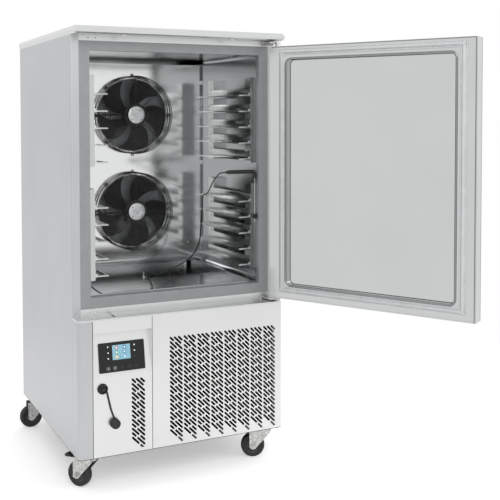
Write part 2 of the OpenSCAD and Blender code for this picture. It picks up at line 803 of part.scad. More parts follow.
module electrical_box() {
    x0 = x_panel[0] + 10;
    y0 = y_face + 4;
    z0 = z_tray + 190;
    color(satin) {
        difference() {
            block([x0, y0, z0], [x0 + 180, y0 + 120, sill_h - skin_t]);
            block([x0 + 2, y0 + 2, z0 + 2], [x0 + 178, y0 + 118, sill_h - 12]);
            block([x0 + 8, y0 - 1, z0 + 8], [x0 + 172, y0 + 3, sill_h - 18]);
        }
        block([x0 + 20, y0 + 100, z0 + 30], [x0 + 160, y0 + 119, z0 + 40]);
    }
    color(black) for (i = [0:2])
        block([x0 + 26 + 44 * i, y0 + 40, z0 + 22], [x0 + 60 + 44 * i, y0 + 119, z0 + 96]);
}

// ---- Inside the storage space ----

module evaporator_coil() {
    x0 = -x_fans + 40;
    x1 = riser_x[0] - 40;
    y0 = y_fans + 34;
    y1 = y_in - 20;
    z0 = z_fans[0] + 30;
    z1 = z_fans[1] - 30;
    color([0.8, 0.82, 0.83]) difference() {
        block([x0, y0 + 4, z0], [x1, y1, z1]);
        for (x = [x0 + 20:30:x1 - 20]) block([x, y0, z0 + 5], [x + 2, y0 + 8, z1 - 5]);
    }
    color(zinc) for (x = [x0 - 2, x1]) block([x, y0, z0 - 8], [x + 2, y_in, z1 + 8]);
    color(copper) {
        for (i = [0:9])
            for (y = [y0 + 24, y1 - 24])
                coil_bend([x1 + 2, y, z0 + 50 + 70 * i], 14, 10);
    }
}

// Fan panel: folded edges, stand-offs to the walls and a rolled ring at each fan
module fan_panel() {
    t = skin_t;
    color(mirror_steel) {
        difference() {
            union() {
                wall_of(y_fans, y_fans + t)
                    translate([-x_fans, z_fans[0]]) square([2 * x_fans, z_fans[1] - z_fans[0]]);
                for (z = fan_zs) rod_y(fan_x, y_fans, y_fans + 14, z, fan_ring + 2 * t);
            }
            for (z = fan_zs) rod_y(fan_x, y_fans - 1, y_fans + 15, z, fan_ring);
        }
        for (s = [-1, 1]) {
            block([s * (x_fans - t / 2) - t / 2, y_fans + t, z_fans[0]],
                [s * (x_fans - t / 2) + t / 2, y_fans + 24, z_fans[1]]);
            for (k = [0.07, 0.49, 0.91])
                translate([s * (x_fans + x_in) / 2, y_fans + 12, z_fans[0] + k * (z_fans[1] - z_fans[0])])
                    cube([x_in - x_fans, 20, 16], center = true);
        }
    }
}

// Basket guard: rings and spokes in front, three rings and eight legs behind
module guard(z) {
    y0 = y_fans - guard_h;
    translate([fan_x, 0, z]) {
        wall_of(y0, y0 + guard_t) {
            for (r = [motor_d / 2 + 8:12:guard_d / 2 - 4]) difference() {
                circle(r = r + 1.5);
                circle(r = r - 1.5);
            }
            difference() {
                circle(d = guard_d);
                circle(d = guard_d - 6);
            }
            for (a = [0:45:315])
                rotate(a) translate([motor_d / 2 + 7, -1.5]) square([guard_d / 2 - motor_d / 2 - 8, 3]);
        }
        for (y = [y0 + 14, y0 + 28]) wall_of(y, y + guard_t) difference() {
            circle(d = guard_d);
            circle(d = guard_d - 6);
        }
        for (a = [0:45:315]) rotate([0, a, 0])
            block([guard_d / 2 - 3, y0, -1.5], [guard_d / 2, y_fans, 1.5]);
        wall_of(y_fans - 2, y_fans) for (a = [0:45:315]) rotate(a)
            translate([guard_d / 2 - 3, -6]) square([13, 12]);
    }
}

module fan_guards() {
    color(black) for (z = fan_zs) guard(z);
}

module fan_motors() {
    y0 = y_fans - guard_h;
    color(satin) for (z = fan_zs) {
        rod_y(fan_x, y0 - 5, y0 + 35, z, motor_d);
        rod_y(fan_x, y0 + guard_t, y0 + guard_t + 3, z, motor_d + 20);
        rod_y(fan_x, y0 + 35, y_fans + 12, z, shaft_d);
    }
}

module evaporator_rotor(z) {
    color(grey) rotor(fan_x, z, y_fans - 11, y_fans + 19, hub_d, fan_d, shaft_d);
}

module upper_fan_rotor() {
    evaporator_rotor(fan_zs[1]);
}

module lower_fan_rotor() {
    evaporator_rotor(fan_zs[0]);
}

// Upright: a channel whose flanges stand on the side wall, slotted for the runners
module upright(y0, z0) {
    z1 = z0 + (level_count - 1) * level_pitch;
    difference() {
        post_of(z0 - upright_tail, z1 + 70) difference() {
            translate([x_web, y0]) square([x_in - x_web, upright_w]);
            translate([x_web + web_t, y0 + web_t]) square([x_in - x_web, upright_w - 2 * web_t]);
        }
        for (i = [0:level_count - 1])
            block([x_web - 1, y0 + 18, z0 + level_pitch * i + 14],
                [x_web + 3, y0 + 28, z0 + level_pitch * i + 34]);
    }
}

module rack_uprights() {
    color(steel) for (s = [0, 1])
        mirror([s, 0, 0])
            for (z = [level_low, level_low + rack_step])
                for (y = [y_rack, y_rack + rack_d - upright_w])
                    upright(y, z);
}

// Runner: web on the uprights, a ribbed ledge, a stop at its front end and a tongue at its rear end
module runner(z) {
    wall_of(y_rack, y_rack + rack_d) {
        translate([x_web - ledge_t, z - 4]) square([ledge_t, 34]);
        translate([x_ledge, z]) square([ledge_w, ledge_t]);
        for (x = [0, 16, 32]) translate([x_ledge + x, z]) square([5, ledge_t + 2]);
    }
    block([x_ledge, y_rack, z], [x_web - ledge_t, y_rack + ledge_t, z + 12]);
    block([x_ledge + 3, y_rack + rack_d, z], [x_ledge + 11, y_rack + rack_d + 20, z + ledge_t]);
}

module right_runners() {
    color(steel) for (z = [level_low, level_low + rack_step])
        for (i = [0:level_count - 1])
            runner(z + level_pitch * i);
}

module left_runners() {
    mirror([1, 0, 0]) right_runners();
}

// ---- Drain ----

module drain_plug() {
    color(steel) translate([drain_at[0], drain_at[1], z_basin]) {
        translate([0, 0, -10]) cylinder(d = drain_d - 2 * gap, h = 12);
        translate([0, 0, gap]) cylinder(d = drain_d + 14, h = 2.5);
        translate([0, 0, 2]) cylinder(d = 8, h = 12);
        translate([0, 0, 12]) cylinder(d = 16, h = 4);
    }
}

// Waste pipe from the basin to a socket under the base, where the building's pipe pushes in
module drain_pipe() {
    d = drain_d + 2 * drain_wall;
    z0 = leg_h - 30;
    z1 = z_basin - liner_t;
    color(grey) difference() {
        union() {
            rod_z(drain_at[0], drain_at[1], z0, z1, d);
            rod_z(drain_at[0], drain_at[1], z0, leg_h - 1, outlet_d + 8);
            rod_z(drain_at[0], drain_at[1], z1 - drain_wall, z1, drain_d + 22);
        }
        rod_z(drain_at[0], drain_at[1], z0 - 1, z1 + 1, drain_d);
        rod_z(drain_at[0], drain_at[1], z0 - 1, z0 + 25, outlet_d);
    }
}

// ---- Core probe ----

module probe_clip() {
    color(black) difference() {
        block([probe_at[0] - 7, probe_at[1] - 7, clip_z - 8], [probe_at[0] + 7, y_rack, clip_z + 8]);
        rod_z(probe_at[0], probe_at[1], clip_z - 9, clip_z + 9, needle_d);
    }
}

// Handle bent square: a grip along X, an elbow and a short leg down to the needle
module probe_handle() {
    r = 12;
    color(black) {
        rod_x(probe_at[0] - handle_len, probe_at[0] - r, probe_at[1], handle_z, handle_d);
        translate([probe_at[0] - r, probe_at[1], handle_z - r]) rotate([90, 0, 0]) rotate_extrude(angle = 90)
            translate([r, 0]) circle(d = handle_d);
        rod_z(probe_at[0], probe_at[1], handle_z - 26, handle_z - r, handle_d);
    }
}

module probe_needle() {
    z1 = handle_z - 26;
    color(steel) {
        rod_z(probe_at[0], probe_at[1], z1 - needle_len + 8, z1, needle_d);
        translate([probe_at[0], probe_at[1], z1 - needle_len]) cylinder(d1 = 0.6, d2 = needle_d, h = 8);
    }
}

// Smooth points along a route, two to each of its stretches
function catmull(a, b, c, d, t) = 0.5 * ((2 * b) + (c - a) * t + (2 * a - 5 * b + 4 * c - d) * t * t
    + (3 * b - a - 3 * c + d) * t * t * t);
function route_points(p) = let (n = len(p)) concat(
    [for (i = [0:n - 2]) for (t = [0, 0.5])
        catmull(p[max(i - 1, 0)], p[i], p[i + 1], p[min(i + 2, n - 1)], t)], [p[n - 1]]);
function unit(v) = v / norm(v);
function heading(p, i) = i == 0 || i == len(p) - 1 ? [-1, 0, 0] : unit(p[i + 1] - p[i - 1]);
// Side vectors carried along the route without twist
function carried(p, i, v) = let (h = heading(p, i)) unit(v - (v * h) * h);
function sides(p, i, v) = i >= len(p) ? [] : let (s = carried(p, i, v)) concat([s], sides(p, i + 1, s));

module tube(points, d, faces) {
    s = sides(points, 0, [0, 0, 1]);
    n = len(points);
    rings = [for (i = [0:n - 1]) let (h = heading(points, i), w = cross(h, s[i]))
        for (k = [0:faces - 1]) let (a = 360 * k / faces) points[i] + d / 2 * (cos(a) * s[i] + sin(a) * w)];
    polyhedron(rings, concat(
        [[for (k = [0:faces - 1]) k]],
        [for (i = [0:n - 2]) for (k = [0:faces - 1]) let (a = i * faces + k, b = i * faces + (k + 1) % faces)
            [a, a + faces, b + faces, b]],
        [[for (k = [faces - 1:-1:0]) (n - 1) * faces + k]]));
}

module probe_cable() {
    color(black) tube(route_points(cable_route), cable_d, 8);
}

module cable_glands() {
    x1 = cable_route[len(cable_route) - 1][0];
    color(black) {
        rod_x(-x_in, x1, gland_at[1], gland_at[2], 14);
        rod_x(-x_in, -x_in + 5, gland_at[1], gland_at[2], 19);
        difference() {
            union() {
                rod_y(x_left + 60, y_back - 12, y_back, z_tray + 28, 20);
                rod_y(x_left + 60, y_back, y_back + 14, z_tray + 28, 26);
            }
            rod_y(x_left + 60, y_back - 13, y_back + 15, z_tray + 28, 12);
        }
    }
}

// ---- Door, drawn closed and turned open about its hinge ----

module at_door() {
    translate([hinge[0], hinge[1], 0]) rotate([0, 0, door_open]) translate([-hinge[0], -hinge[1], 0])
        children();
}

// Plan of the door inside its skin by an inset; the finger pull grows by as much
module door_plan(inset) {
    difference() {
        intersection() {
            translate([x_door[0] + inset, y_door[0] + inset]) square([door_w - 2 * inset, door_t - 2 * inset]);
            round_rect([x_door[0] + inset, y_door[0] + inset], [x_door[1] - inset, y_door[1] + 60],
                door_r - inset);
        }
        pull_plan(inset);
    }
}

module pull_plan(grow) {
    r = pull_w / 2 + grow;
    y1 = y_door[0] + pull_h - pull_w / 2;
    translate([pull_x, y1]) circle(r = r);
    translate([pull_x - r, y_door[0] - 1]) square([2 * r, y1 - y_door[0] + 1]);
}

module door_bores(z_in) {
    for (z = [[z_door[0] - 1, z_door[0] + z_in], [z_door[1] - z_in, z_door[1] + 1]])
        rod_z(hinge[0], hinge[1], z[0], z[1], bush_d);
}

module door_skin() {
    t = skin_t;
    color(steel) at_door() difference() {
        post_of(z_door[0], z_door[1]) door_plan(0);
        post_of(z_door[0] + t, z_door[1] - t) door_plan(t);
        block([x_door[0] + door_lip, y_door[1] - 2 * t, z_door[0] + door_lip],
            [x_door[1] - door_lip, y_door[1] + 1, z_door[1] - door_lip]);
        door_bores(bush_h);
    }
}

// Recess of the door's liner as seen from inside
module pan_outline(grow) {
    round_rect([pan_x[0] - grow, pan_z[0] - grow], [pan_x[1] + grow, pan_z[1] + grow], pan_r + grow);
}

module door_liner() {
    t = liner_t;
    y1 = y_door[1];
    color(steel) at_door() difference() {
        union() {
            wall_of(y1 - t, y1) round_rect([x_door[0] + door_lip + 0.5, z_door[0] + door_lip + 0.5],
                [x_door[1] - door_lip - 0.5, z_door[1] - door_lip - 0.5], 2);
            wall_of(y1 - pan_h - t, y1) pan_outline(t);
        }
        wall_of(y1 - pan_h, y1 + 1) pan_outline(0);
    }
}

module door_foam() {
    color(foam_colour) at_door() difference() {
        post_of(z_door[0] + skin_t, z_door[1] - skin_t) door_plan(skin_t);
        wall_of(y_door[1] - liner_t, y_door[1] + 1)
            translate([x_door[0] + door_lip, z_door[0] + door_lip])
                square([door_w - 2 * door_lip, z_door[1] - z_door[0] - 2 * door_lip]);
        wall_of(y_door[1] - pan_h - liner_t, y_door[1] + 1) pan_outline(liner_t);
        door_bores(bush_h);
    }
}

// Gasket: a flat base with a hollow, rounded magnet strip standing on it
module seal_ring(a, b, w) {
    difference() {
        round_rect([seal_x[0] + a, seal_z[0] + a], [seal_x[1] - a, seal_z[1] - a], 6);
        round_rect([seal_x[0] + b, seal_z[0] + b], [seal_x[1] - b, seal_z[1] - b], 4);
    }
}

module door_gasket() {
    y0 = y_door[1];
    color(grey) at_door() {
        wall_of(y0, y0 + 1.5) seal_ring(0, seal_w);
        wall_of(y0 + 1.5, y0 + seal_gap - 0.5) seal_ring(5, 18);
        wall_of(y0 + 1.5, y0 + 3) seal_ring(seal_w - 3, seal_w);
    }
}

// Brackets: a leg screwed to the rail, an arm out to the hinge axis, a collar and the pin
module hinge_bracket(z0, dir) {
    x0 = hinge[0] - 45;
    z_arm = [z0, z0 + dir * 5];
    door_gap = dir > 0 ? door_under : door_over;
    pin_end = z0 + dir * (door_gap - 4 + bush_h - 4);
    z_min = min(z0, z0 + dir * 5);
    leg = dir > 0 ? [z0 - 3, z0 + door_under - 8] : [z0 - door_over + 15, z0 + 3];
    block([x0, y_face - 5, leg[0]], [x_right - 4, y_face, leg[1]]);
    block([x0 + 12, hinge[1], z_min], [hinge[0] + 11, y_face - 1, z_min + 5]);
    rod_z(hinge[0], hinge[1], z_min, z_min + 5, 22);
    rod_z(hinge[0], hinge[1], min(z0, pin_end), max(z0, pin_end), hinge_d);
    collar = dir > 0 ? [z0, z_door[0] - gap] : [z_door[1] + gap, z0];
    rod_z(hinge[0], hinge[1], collar[0], collar[1], hinge_d + 8);
}

module hinge_brackets() {
    color(zinc) {
        hinge_bracket(sill_h + 4, 1);
        hinge_bracket(z_lid - 4, -1);
    }
}

module door_bushes() {
    color(black) at_door() for (z = [z_door[0], z_door[1] - bush_h]) difference() {
        rod_z(hinge[0], hinge[1], z, z + bush_h, bush_d);
        rod_z(hinge[0], hinge[1], z - 1, z + bush_h + 1, hinge_d + 2 * fit);
    }
}

// ---- Castors ----

module at_castor(i) {
    translate([castors[i][0], castors[i][1], 0]) rotate([0, 0, castors[i][2]]) children();
}

// Top plates with their bolts, the upper race and the king pin
module castor_plates() {
    color(zinc) for (c = castors) translate([c[0], c[1], 0]) {
        round_plate([-50, -43, leg_h - 3], [50, 43, leg_h]);
        rod_z(0, 0, z_race, leg_h - 2, race_d);
        rod_z(0, 0, z_crown - 2, leg_h - 2, pin_d);
        rod_z(0, 0, z_crown - 4 - gap, z_crown - gap, pin_d + 8);
        for (x = [-40, 40])
            for (y = [-33, 33])
                rod_z(x, y, leg_h - 9, leg_h - 2, 12);
    }
}

// Fork: crown and lower race on the king pin, two raked legs, the axle and the pedal's pin
module fork(pedal) {
    y_leg = wheel_w / 2 + fork_gap;
    color(zinc) {
        difference() {
            union() {
                block([-28, -y_leg - leg_t, z_crown], [34, y_leg + leg_t, z_crown + 3.5]);
                rod_z(0, 0, z_crown, z_race - gap, race_d);
            }
            rod_z(0, 0, z_crown - 1, z_race + 1, pin_d + 2 * fit);
        }
        for (y = [-y_leg - leg_t, y_leg]) wall_of(y, y + leg_t) {
            translate([trail, z_axle]) circle(r = 14);
            polygon([[trail - 12, z_axle - 7], [trail + 14, z_axle], [trail + 15, z_crown + 3.5],
                [-26, z_crown + 3.5], [-26, z_crown - 4]]);
        }
        rod_y(trail, -y_leg - leg_t - 4, y_leg + leg_t + 4, z_axle, axle_d);
        for (y = [-y_leg - leg_t - 5, y_leg + leg_t]) rod_y(trail, y, y + 5, z_axle, axle_d + 6);
        if (pedal) rod_y(pedal_at[0], -y_leg - 1, y_leg + 1, pedal_at[1], 4);
    }
}

// Wheel: a tyre with rounded shoulders on a dished hub with its bore
module wheel() {
    r = wheel_d / 2;
    w = wheel_w / 2;
    color(black) translate([trail, 0, z_axle]) rotate([90, 0, 0]) rotate_extrude() {
        translate([axle_d / 2 + fit, -w - 1]) square([8, 2 * w + 2]);
        translate([axle_d / 2 + 4, -5]) square([r - 20, 10]);
        translate([r - 22, -w + 2]) square([14, 2 * w - 4]);
        translate([r - 16, -w + 6]) square([16, 2 * w - 12]);
        for (y = [-1, 1]) translate([r - 6, y * (w - 6)]) circle(r = 6);
        translate([r - 16, -w]) square([10, 2 * w]);
    }
}

// Brake pedal on its pin, its pad behind the wheel
module pedal() {
    y_in_leg = wheel_w / 2 + fork_gap - 1;
    color(black) translate([pedal_at[0], 0, pedal_at[1]]) difference() {
        union() {
            rod_y(0, -y_in_leg, y_in_leg, 0, 9);
            block([0, -12, 0.5], [48, 12, 4]);
            round_plate([20, -20, 3], [50, 20, 8]);
        }
        rod_y(0, -y_in_leg - 1, y_in_leg + 1, 0, 4 + 2 * fit);
    }
}

left_side_panel();
right_side_panel();
rear_panel();
top_cover();
fasteners();
cabinet_bottom();
cabinet_insulation();
cavity_liner();
breaker_frame();
front_rails();
sill_profile();
corner_post();
control_panel();
display_glass();
grille_panel();
data_socket();
socket_cap();
machine_base();
rear_grille();
compressor();
compressor_mounts();
condenser_coil();
condenser_shroud();
condenser_motor();
condenser_rotor();
refrigerant_pipes();
electrical_box();
evaporator_coil();
fan_panel();
fan_guards();
fan_motors();
upper_fan_rotor();
lower_fan_rotor();
rack_uprights();
left_runners();
right_runners();
drain_plug();
drain_pipe();
probe_clip();
probe_handle();
probe_needle();
probe_cable();
cable_glands();
door_skin();
door_foam();
door_liner();
door_gasket();
hinge_brackets();
door_bushes();
castor_plates();
at_castor(0) fork(true);  // front_left_fork
at_castor(1) fork(true);  // front_right_fork
at_castor(2) fork(false);  // rear_left_fork
at_castor(3) fork(false);  // rear_right_fork
at_castor(0) wheel();  // front_left_wheel
at_castor(1) wheel();  // front_right_wheel
at_castor(2) wheel();  // rear_left_wheel
at_castor(3) wheel();  // rear_right_wheel
at_castor(0) pedal();  // left_brake_pedal
at_castor(1) pedal();  // right_brake_pedal
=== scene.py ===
import logging
import math
from collections.abc import Sequence
from dataclasses import dataclass
from enum import Enum

import bmesh
import bpy
from mathutils import Matrix, Vector


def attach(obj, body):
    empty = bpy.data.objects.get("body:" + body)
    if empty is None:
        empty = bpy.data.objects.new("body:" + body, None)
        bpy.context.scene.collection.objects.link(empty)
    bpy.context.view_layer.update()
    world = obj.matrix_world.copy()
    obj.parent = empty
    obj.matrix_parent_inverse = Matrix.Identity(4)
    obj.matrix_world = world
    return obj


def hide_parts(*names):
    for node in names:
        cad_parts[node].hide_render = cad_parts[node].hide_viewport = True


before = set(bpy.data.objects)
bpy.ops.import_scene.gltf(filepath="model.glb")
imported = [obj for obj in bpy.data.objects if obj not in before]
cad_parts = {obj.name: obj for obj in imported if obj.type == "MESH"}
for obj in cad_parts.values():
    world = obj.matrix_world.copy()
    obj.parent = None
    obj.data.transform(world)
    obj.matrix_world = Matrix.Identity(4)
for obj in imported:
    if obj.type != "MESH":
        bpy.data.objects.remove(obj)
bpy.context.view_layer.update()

LOG = logging.getLogger("blast_chiller")
MM = 0.001
X_AXIS = Vector((1, 0, 0))
Y_AXIS = Vector((0, 1, 0))
Z_AXIS = Vector((0, 0, 1))

Pair = tuple[float, float]
Triple = tuple[float, float, float]
Socket = bpy.types.NodeSocket


class Grain(Enum):
    """Direction in which a sheet was brushed or drawn."""

    ALONG_X = 0
    ALONG_Z = 2


class Body(Enum):
    """Rigid bodies of the frame that pieces ride on."""

    CABINET = "cabinet"
    DOOR = "door"
    CAP = "socket_cap"
    UPPER_FAN = "upper_fan"
    LOWER_FAN = "lower_fan"


def linear(code: str) -> tuple[float, float, float, float]:
    """Turn an sRGB hex colour into linear light.

    Args:
        code: The colour as "#rrggbb".

    Returns:
        Red, green, blue and an alpha of one.
    """
    parts = [int(code[i:i + 2], 16) / 255 for i in (1, 3, 5)]
    light = [c / 12.92 if c <= 0.04045 else ((c + 0.055) / 1.055) ** 2.4 for c in parts]
    return (light[0], light[1], light[2], 1.0)


def point(x: float, y: float, z: float) -> Vector:
    """Return a place in metres from millimetres."""
    return Vector((x, y, z)) * MM


def add_node(tree: bpy.types.NodeTree, kind: str, sockets: dict[str | int, object] | None = None,
             **settings: object) -> bpy.types.Node:
    """Add a shader node with its settings, values and links.

    Args:
        tree: Node tree that gets the node.
        kind: Type name of the node.
        sockets: Input name or number to a value, or to the output to link to it.
        settings: Properties of the node itself.

    Returns:
        The new node.
    """
    node = tree.nodes.new(kind)
    for name, value in settings.items():
        setattr(node, name, value)
    for name, value in (sockets or {}).items():
        if isinstance(value, Socket):
            tree.links.new(value, node.inputs[name])
        else:
            node.inputs[name].default_value = value
    return node


def empty_tree(owner: bpy.types.ID) -> bpy.types.NodeTree:
    """Return the node tree of a material or world, emptied.

    Args:
        owner: The material or world.

    Returns:
        The tree, with no nodes in it.
    """
    owner.use_nodes = True
    owner.node_tree.nodes.clear()
    return owner.node_tree


# ---- Finishes ----

# Values between which most of the grains lie
MIDDLE: Pair = (0.3, 0.7)


class Surface:
    """A material under construction: its shader and the patterns that vary over it."""

    def __init__(self, finish: "Finish") -> None:
        """Start from a finish; what is the same all over goes on the shader's own sockets.

        Args:
            finish: What the surface is made of.
        """
        self.finish = finish
        self.material = bpy.data.materials.new(finish.name)
        self.tree = empty_tree(self.material)
        self.shader = add_node(self.tree, "ShaderNodeBsdfPrincipled", {
            "Base Color": linear(finish.colour), "Roughness": finish.roughness, "Metallic": finish.metallic,
            "Specular IOR Level": finish.specular, "Coat Weight": finish.coat,
            "Coat Roughness": finish.coat_roughness})
        add_node(self.tree, "ShaderNodeOutputMaterial", {"Surface": self.shader.outputs["BSDF"]})
        self.coords = add_node(self.tree, "ShaderNodeTexCoord").outputs["Object"]

    def grains(self, size: float | tuple[float, ...], detail: float = 2.0, rough: float = 0.5) -> Socket:
        """Spread soft grains of a real size over the surface.

        Args:
            size: Size of a grain in millimetres, one for all or one each along X, Y and Z.
            detail: Octaves of the grains.
            rough: Strength of the finer octaves.

        Returns:
            The output that holds the grains, from 0 to 1.
        """
        sizes = size if isinstance(size, tuple) else (size,) * 3
        scaled = add_node(self.tree, "ShaderNodeMapping", {
            "Vector": self.coords, "Scale": tuple(1000 / s for s in sizes)})
        made = add_node(self.tree, "ShaderNodeTexNoise", {
            "Vector": scaled.outputs["Vector"], "Scale": 1.0, "Detail": detail, "Roughness": rough})
        return made.outputs["Fac"]

    def gloss(self, value: Socket, below: float, above: float) -> None:
        """Let the roughness follow a value.

        Args:
            value: Output that varies, such as grains.
            below: How far the roughness goes under the finish's own.
            above: How far it goes over it.
        """
        middle = self.finish.roughness
        rough = add_node(self.tree, "ShaderNodeMapRange", {
            "Value": value, "From Min": MIDDLE[0], "From Max": MIDDLE[1],
            "To Min": middle - below, "To Max": middle + above})
        self.tree.links.new(rough.outputs["Result"], self.shader.inputs["Roughness"])

    def tint(self, value: Socket, other: str, shares: Pair, reach: Pair = MIDDLE,
             socket: str = "Base Color") -> None:
        """Blend the colour towards another one.

        Args:
            value: Output that varies, such as grains.
            other: The other colour.
            shares: Its share at the start and at the end of the reach.
            reach: Values between which the share changes.
            socket: Input of the shader that gets the colour.
        """
        share = add_node(self.tree, "ShaderNodeMapRange", {
            "Value": value, "From Min": reach[0], "From Max": reach[1],
            "To Min": shares[0], "To Max": shares[1]})
        mixed = add_node(self.tree, "ShaderNodeMix", {
            "Factor": share.outputs["Result"], 6: linear(self.finish.colour), 7: linear(other)},
            data_type="RGBA")
        self.tree.links.new(mixed.outputs[2], self.shader.inputs[socket])

    def emboss(self, height: Socket, strength: float, depth: float) -> None:
        """Raise the surface by a height.

        Args:
            height: Output that varies, such as grains.
            strength: How much of the relief shows.
            depth: Its span in millimetres.
        """
        raised = add_node(self.tree, "ShaderNodeBump", {
            "Height": height, "Strength": strength, "Distance": depth * MM})
        self.tree.links.new(raised.outputs["Normal"], self.shader.inputs["Normal"])


@dataclass(frozen=True)
class Finish:
    """A surface: what it is made of and how it was made."""

    name: str
    colour: str
    roughness: float = 0.5
    metallic: float = 0.0
    specular: float = 0.5
    coat: float = 0.0
    coat_roughness: float = 0.03

    def material(self) -> bpy.types.Material:
        """Make the material, or find it where it is made already.

        Returns:
            The material.
        """
        made = bpy.data.materials.get(self.name)
        if made is None:
            surface = Surface(self)
            self.pattern(surface)
            made = surface.material
        return made

    def pattern(self, on: Surface) -> None:
        """Add what varies over the surface; a plain finish adds nothing."""


@dataclass(frozen=True)
class BrushedStainless(Finish):
    """Stainless sheet dulled by an abrasive belt: fine parallel scratches that spread the light."""

    roughness: float = 0.3
    metallic: float = 1.0
    grain: Grain = Grain.ALONG_Z
    shade: str = "#9a9b9c"
    depth: float = 0.02
    scratch: float = 1.1
    stroke: float = 90.0
    cloud: float = 260.0

    def pattern(self, on: Surface) -> None:
        """Scratches 1.1 mm apart, coarser than the real 0.1 mm so that they show, and faint clouds.

        Args:
            on: The surface that gets the pattern.
        """
        size = [self.scratch] * 3
        size[self.grain.value] = self.stroke
        lines = on.grains(tuple(size), 3.0, 0.6)
        clouds = on.grains(self.cloud, 1.0)
        both = add_node(on.tree, "ShaderNodeMath", {0: lines, 1: clouds}, operation="MULTIPLY")
        on.tint(both.outputs[0], self.shade, (0.5, 0.0), (0.12, 0.4))
        on.gloss(lines, 0.02, 0.03)
        on.emboss(lines, 0.25, self.depth)


@dataclass(frozen=True)
class BrightStainless(Finish):
    """Bright annealed stainless sheet: mirror-like, with the slow waves of a folded panel."""

    metallic: float = 1.0
    wave: float = 140.0
    depth: float = 0.9

    def pattern(self, on: Surface) -> None:
        """Waves as long as the panels buckle, and the smear that wiping leaves."""
        on.gloss(on.grains((60.0, 60.0, 16.0), 3.0), 0.015, 0.03)
        on.emboss(on.grains((self.wave, self.wave, self.wave * 1.6), 1.0), 0.6, self.depth)


@dataclass(frozen=True)
class Mottled(Finish):
    """Patches of real size over a fine texture, which is drawn coarser than it is so that it shows."""

    shade: str = "#808080"
    patch: float = 10.0
    detail: float = 2.0
    rough: float = 0.5
    amount: float = 0.5
    spread: Pair = (0.1, 0.1)
    texture: float = 0.0
    strength: float = 0.3
    depth: float = 0.05

    def pattern(self, on: Surface) -> None:
        """Patches of the shade that change the gloss too, and the texture where there is one.

        Args:
            on: The surface that gets the pattern.
        """
        patches = on.grains(self.patch, self.detail, self.rough)
        on.tint(patches, self.shade, (0.0, self.amount))
        on.gloss(patches, *self.spread)
        if self.texture:
            on.emboss(on.grains(self.texture), self.strength, self.depth)


@dataclass(frozen=True)
class ZincPlated(Mottled):
    """Pressed steel with bright zinc: cool, with pale clouds and the fine texture of the plating."""

    roughness: float = 0.32
    metallic: float = 1.0
    shade: str = "#8e9092"
    patch: float = 9.0
    detail: float = 3.0
    amount: float = 0.7
    spread: Pair = (0.08, 0.12)
    texture: float = 0.8
    depth: float = 0.03


@dataclass(frozen=True)
class MouldedPlastic(Mottled):
    """Moulded or extruded plastic: the pebbles of its mould, and a gloss that drifts as it flowed."""

    roughness: float = 0.48
    shade: str = "#101113"
    patch: float = 35.0
    amount: float = 0.35
    spread: Pair = (0.07, 0.09)
    texture: float = 0.9
    strength: float = 0.35
    depth: float = 0.06


@dataclass(frozen=True)
class Rubber(Mottled):
    """Vulcanised rubber: dark, dull and grained, dusty in patches where it wears."""

    roughness: float = 0.72
    shade: str = "#3a3a39"
    patch: float = 14.0
    detail: float = 4.0
    rough: float = 0.65
    amount: float = 0.6
    spread: Pair = (0.1, 0.12)
    texture: float = 0.7
    strength: float = 0.4
    depth: float = 0.08


@dataclass(frozen=True)
class DrawnCopper(Mottled):
    """Drawn copper tube, a little tarnished near its brazed joints."""

    roughness: float = 0.3
    metallic: float = 1.0
    shade: str = "#6b3f2a"
    patch: float = 25.0
    detail: float = 4.0
    amount: float = 0.8
    spread: Pair = (0.08, 0.2)


@dataclass(frozen=True)
class StovedEnamel(Finish):
    """Black stoved enamel over steel: glossy under its clear top layer, with a soft orange peel."""

    roughness: float = 0.28
    coat: float = 0.4
    coat_roughness: float = 0.12
    peel: float = 2.4

    def pattern(self, on: Surface) -> None:
        """Orange peel, and dust in the gloss in patches of 20 mm."""
        on.gloss(on.grains(20.0, 3.0), 0.06, 0.12)
        on.emboss(on.grains(self.peel), 0.25, 0.1)


@dataclass(frozen=True)
class RolledFins(Finish):
    """Aluminium fins pressed on tubes, seen edge on as fine upright lines."""

    roughness: float = 0.38
    metallic: float = 1.0
    pitch: float = 3.0
    # Colour of the gaps between the fins: painted shade
    gap_shade: str = "#3c3f41"

    def pattern(self, on: Surface) -> None:
        """Bands at the fins' pitch, darker in the gaps between the fins as painted shade; a wave texture
        repeats every pi / 10 of its coordinate.

        Args:
            on: The surface that gets the pattern.
        """
        fins = add_node(on.tree, "ShaderNodeTexWave", {
            "Vector": on.coords, "Scale": math.pi / 10 / (self.pitch * MM), "Distortion": 0.0},
            wave_type="BANDS", bands_direction="X").outputs["Fac"]
        on.tint(fins, self.gap_shade, (1.0, 0.0), (0.2, 0.7))
        on.emboss(fins, 0.6, 0.6)


@dataclass(frozen=True)
class CellFoam(Finish):
    """Polyurethane foam: pale yellow, with cells that show at a cut edge."""

    roughness: float = 0.9
    cell: float = 1.6
    shade: str = "#cdb884"

    def pattern(self, on: Surface) -> None:
        """Cells drawn 1.6 mm wide, several times their real size, so that they show.

        Args:
            on: The surface that gets the pattern.
        """
        cells = add_node(on.tree, "ShaderNodeTexVoronoi", {
            "Vector": on.coords, "Scale": 1000 / self.cell}).outputs["Distance"]
        on.tint(cells, self.shade, (0.0, 0.5))
        on.emboss(cells, 0.5, 0.4)


@dataclass(frozen=True)
class DisplayGlass(Finish):
    """Black back-painted glass: deep black with a sharp reflection in its clear layer."""

    roughness: float = 0.05
    specular: float = 0.3
    coat: float = 0.3

    def pattern(self, on: Surface) -> None:
        """Faint finger marks, 18 mm across, change the gloss."""
        on.gloss(on.grains(18.0, 3.0), 0.02, 0.05)


